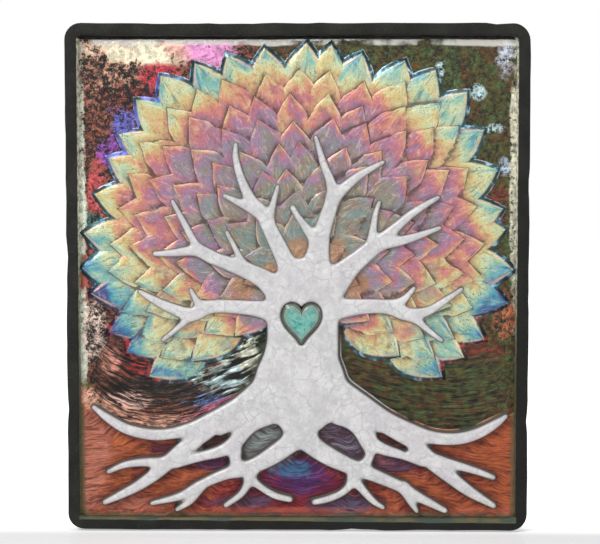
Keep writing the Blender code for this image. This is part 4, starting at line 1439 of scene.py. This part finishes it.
FILM_STOPS = [
    (0.00, tint(122, 138, 132)), (0.08, tint(140, 134, 116)), (0.15, tint(142, 130, 126)),
    (0.22, tint(146, 126, 150)), (0.29, tint(164, 118, 146)), (0.36, tint(184, 112, 126)),
    (0.43, tint(206, 132, 114)), (0.50, tint(206, 162, 118)), (0.57, tint(206, 190, 130)),
    (0.65, tint(202, 212, 168)), (0.74, tint(142, 190, 170)), (0.82, tint(74, 156, 176)),
    (0.90, tint(30, 88, 144)), (0.98, tint(62, 52, 122)),
]
lustre.colour = lustre.ramp(film, FILM_STOPS)
teal = lustre.noise(spot, 11.0, 3.0).between(0.5, 0.62) * inner
lustre.layer(teal * 0.6, tint(122, 142, 142))
brown = lustre.noise(spot, 8.0, 3.0, 1.0).between(0.55, 0.66) * inner
lustre.layer(brown * 0.5, tint(150, 112, 82))
# Painted highlight: a peach glint along the rims of the leaves, towards their tips.
rim_line = side.between(0.66, 0.96) * along.between(0.45, 0.8)
glint = rim_line * (tone + 0.9 * (fine - 0.5)).between(0.35, 0.6) * wall.between(0.5, 0.2)
lustre.layer(glint * 0.55, tint(244, 200, 166))
GOLDEN_FORKS = [(-14, 1), (1, 15), (21, 14), (-30, -5), (33, -4)]
for fork in GOLDEN_FORKS:
    near = lustre.patch(x, z, fork, (9, 9), 1.2 * (cloud - 0.5))
    lustre.layer(near * 0.75, tint(174, 124, 84))
lustre.layer(wrinkles.between(0.56, 0.68) * 0.3, tint(234, 204, 174))
lustre.layer(wrinkles.between(0.44, 0.32) * 0.32, tint(96, 78, 76))
# Painted shade where a leaf lies under the leaves of the next row, darkest right at the crease.
lustre.layer(under * 0.52, tint(92, 70, 66))
lustre.layer(under.between(0.62, 0.95) * 0.62, tint(60, 40, 40))
veins = wrinkles.between(0.46, 0.34) * outer * film.between(0.55, 0.62)
lustre.layer(veins * 0.35, tint(64, 98, 100))
pits = lustre.noise(spot, 1.0, 3.0).between(0.56, 0.64) * film.between(0.58, 0.66)
pits = pits * lustre.noise(spot, 7.0, 1.0).between(0.46, 0.58)
lustre.layer(pits * 0.7, tint(56, 84, 76))
lustre.layer(fine.between(0.57, 0.7) * 0.22, tint(236, 214, 190))
lustre.layer(fine.between(0.44, 0.3) * 0.3, tint(88, 74, 70))
speck = lustre.noise(spot, 1.0, 2.0)
lustre.layer(speck.between(0.48, 0.36) * 0.25, tint(90, 78, 72))
# Painted shade, partly pooled glaze: the walls of the inner leaves are painted dark where they dip into
# the creases.
crease = wall.between(0.02, 0.35)
inner_wall = lustre.mix(film.between(0.3, 0.6), tint(70, 44, 48), tint(84, 70, 42))
edge_tone = lustre.noise(spot, 5.0, 3.0, 0.5)
navy = lustre.ramp(edge_tone, [(0.36, tint(16, 22, 32)), (0.48, tint(22, 46, 62)),
                               (0.57, tint(34, 88, 112)), (0.66, tint(150, 190, 208))])
violet = x.between(-56.0, -84.0) * z.between(46.0, 70.0)
navy = lustre.mix(violet * edge_tone.between(0.42, 0.52) * 0.8, navy, tint(110, 120, 226))
rust = z.between(-8.0, -30.0) * wide.between(62.0, 80.0)
embers = lustre.ramp(edge_tone, [(0.38, tint(22, 14, 20)), (0.5, tint(56, 24, 30)),
                                 (0.6, tint(186, 72, 66))])
outer_wall = lustre.mix(rust, navy, embers)
# Painted highlight: a pale cyan line at the foot of the outer walls, on the upper crown.
painted_foot_highlight = wall.between(0.6, 0.7) * wall.between(0.86, 0.78)
painted_foot_highlight = painted_foot_highlight * lustre.noise(spot, 4.0, 2.0).between(0.46, 0.56) * z.between(20.0, 50.0)
outer_wall = lustre.mix(painted_foot_highlight * 0.8, outer_wall, tint(196, 222, 232))
wall_colour = lustre.mix(outer, inner_wall, outer_wall)
lustre.layer(crease * 0.92, wall_colour)
lustre.feed("Base Color", lustre.colour)
lustre.feed("Roughness", 0.26 + 0.24 * fine)
lustre.feed("Metallic", 0.2 + 0.5 * outer * crease)
relief = 0.4 * fine + 0.3 * lustre.noise(spot, 1.2, 3.0) + 0.5 * wrinkles
lustre.feed("Normal", lustre.bump(relief, 0.0008))
wear(crown, lustre)

# %% [markdown]
# The white glaze shrinks faster than the clay as it cools and cracks into cells, and smoke
# draws fine grey lines into the cracks. The cells are made from the borders of a Voronoi
# pattern, bent by noise. The walls of the limbs stay dark, because the glaze is wiped off
# them and the smoke gets in.

# %% White crackle glaze
white = Recipe("white_crackle", roughness=0.34, coat=0.3)
spot, x, y, z = white.coordinates()
cloud = white.noise(spot, 12.0, 4.0)
bend = white.add("ShaderNodeTexNoise", {}, {"Vector": spot, "Scale": 0.22, "Detail": 3.0}, "Color")
bent = white.add("ShaderNodeVectorMath", {"operation": "SCALE"}, {0: bend, "Scale": 4.5})
bent = white.add("ShaderNodeVectorMath", {"operation": "ADD"}, {0: spot, 1: bent})


def cracks(size, width):
    """Thin lines between cells of a size in millimetres."""
    return white.cell_edges(bent, size).between(width / size, 0.25 * width / size)


large = cracks(9.0, 0.5) * cloud.between(0.34, 0.6)
small = cracks(3.6, 0.4) * white.noise(spot, 20.0, 2.0).between(0.5, 0.62)
white.colour = white.mix(cloud.between(0.35, 0.68), tint(190, 189, 190), tint(209, 209, 208))
smoke = white.noise(spot, 5.0, 4.0)
white.layer(smoke.between(0.5, 0.72) * 0.3, tint(186, 184, 188))
white.layer(white.noise(spot, 30.0, 2.0).between(0.4, 0.6) * 0.35, tint(206, 198, 204))
mottle = white.noise(spot, 3.4, 4.0, 0.6)
white.layer(mottle.between(0.48, 0.34) * 0.32, tint(166, 165, 168))
white.layer(mottle.between(0.54, 0.66) * 0.36, tint(222, 222, 220))
specks = white.noise(spot, 1.4, 3.0).between(0.55, 0.68)
white.layer(specks * 0.28, tint(160, 160, 158))
white.layer(large * 0.24, tint(120, 118, 122))
white.layer(small * 0.22, tint(150, 148, 152))
white.layer(z.between(-112.0, -128.0) * 0.22, tint(196, 198, 178))
flank = y.between(-13.9, -12.6)
white.layer(flank, tint(58, 54, 52))
# Painted shade: the shoulders of the limbs are greyer where they round over to the walls.
white.layer(y.between(-14.55, -13.9) * 0.35, tint(120, 116, 112))
white.feed("Base Color", white.colour)
white.feed("Roughness", 0.3 + 0.18 * smoke + 0.2 * flank)
dents = white.noise(spot, 2.6, 4.0) - 0.5 * large
white.feed("Normal", white.bump(dents, 0.00022))
wear(tree, white)

# %% [markdown]
# The heart has a turquoise glaze, thinner and paler on its rim and crossed by a few smoky
# cracks. The groove round it is bare and dark.

# %% Turquoise glaze of the heart
turquoise = Recipe("turquoise", roughness=0.26, coat=0.4)
spot, x, y, z = turquoise.coordinates()
edge = turquoise.attribute("edge")
mottle = turquoise.noise(spot, 4.0, 4.0, 0.8)
HEART_STOPS = [(0.34, tint(24, 112, 112)), (0.47, tint(54, 148, 142)), (0.6, tint(112, 174, 160))]
turquoise.colour = turquoise.ramp(mottle, HEART_STOPS)
# Painted highlight: the upper part of the heart is paler.
turquoise.layer(z.between(-25.0, -16.0) * 0.5, tint(138, 172, 160))
crack = turquoise.cell_edges(spot, 6.0).between(0.05, 0.01)
turquoise.layer(crack * 0.3, tint(40, 92, 92))
rubbed_rim = (edge + 1.6 * (mottle - 0.5)).between(-2.4, -0.9)
turquoise.layer(rubbed_rim * 0.55, tint(128, 140, 128))
GROOVE_STOPS = [(0.1, tint(104, 112, 100)), (0.45, tint(58, 60, 52))]
groove_tone = turquoise.ramp(0.35 * edge + 0.8 * (mottle - 0.5), GROOVE_STOPS)
turquoise.layer(edge.between(-0.4, 0.3), groove_tone)
turquoise.feed("Base Color", turquoise.colour)
turquoise.feed("Normal", turquoise.bump(mottle, 0.0004))
wear(heart, turquoise)
print(len(bpy.data.materials), "materials")

# %% [markdown]
# ## Onto the frame
#
# All pieces are glaze and clay of the one plaque, so each rides on the same body, and the
# imported solid is hidden.

# %% Tie the pieces to the imported model
for piece in (slab, field, soil, crown, tree, heart):
    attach(piece, "root")
    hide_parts("plaque")
    print(piece.name, triangle_count(piece), "triangles")

# %% [markdown]
# The plaque is shown standing on a pale, slightly glossy table, in the soft light of a
# studio. Lustre glazes live on what they mirror: a large lamp high on the left flashes in
# the left corner and on the left hill, and a smaller one on the right lights the far edge.
# The sky is white to the camera but dim in what the glazes mirror, so the lamps stand out.

# %% Table, lamps and sky
MIRRORED_SKY = 0.28

bpy.ops.object.select_all(action="DESELECT")
bpy.ops.mesh.primitive_plane_add(size=6, location=(0, 0, cad_low.z - 0.0004))
table = bpy.context.active_object
table.name = "table"
table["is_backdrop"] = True
pale = Recipe("pale_table", roughness=0.3)
pale.shader.inputs["Base Color"].default_value = tint(240, 240, 241)
pale.shader.inputs["Specular IOR Level"].default_value = 0.2
# The table glows as painted light: dimly in front of the plaque and brightly behind it.
pale.shader.inputs["Emission Strength"].default_value = 1.0
spot, x, y, z = pale.coordinates()
far = y.between(-26.0, 12.0)
pale.feed("Emission Color", pale.mix(far, tint(90, 90, 90), tint(245, 245, 245)))
wear(table, pale)


def lamp(name, at, size, watts, colour=(1.0, 1.0, 1.0)):
    """A square lamp that faces the middle of the plaque."""
    light = bpy.data.lights.new(name, "AREA")
    light.size = size
    light.energy = watts
    light.color = colour
    made = bpy.data.objects.new(name, light)
    made.location = at
    made.rotation_euler = (Vector((0, 0, 0)) - Vector(at)).to_track_quat("-Z", "Y").to_euler()
    bpy.context.scene.collection.objects.link(made)


lamp("lamp_left", (-0.8, -1.05, 0.95), 0.5, 17)
lamp("lamp_right", (0.95, -0.9, 0.35), 0.4, 4)
lamp("lamp_top", (0.1, -0.3, 1.1), 0.6, 4)

world = bpy.data.worlds.new("studio")
bpy.context.scene.world = world
world.use_nodes = True
sky = world.node_tree.nodes["Background"]
sky.inputs["Color"].default_value = (1, 1, 1, 1)
sky.inputs["Strength"].default_value = 1.0
rays = world.node_tree.nodes.new("ShaderNodeLightPath")
strength = world.node_tree.nodes.new("ShaderNodeMapRange")
strength.inputs["To Min"].default_value = MIRRORED_SKY
strength.inputs["To Max"].default_value = 1.0
world.node_tree.links.new(rays.outputs["Is Camera Ray"], strength.inputs["Value"])
world.node_tree.links.new(strength.outputs["Result"], sky.inputs["Strength"])
bpy.context.scene.view_settings.view_transform = "Standard"
print("lit by three lamps and a white sky")

# %% [markdown]
# Last, the boxes of the imported model and of the finished one are printed, so that the
# two can be compared.

# %% Print the finished size
low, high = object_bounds()
print("the finished plaque measures", [round(1000 * side, 1) for side in high - low], "mm")
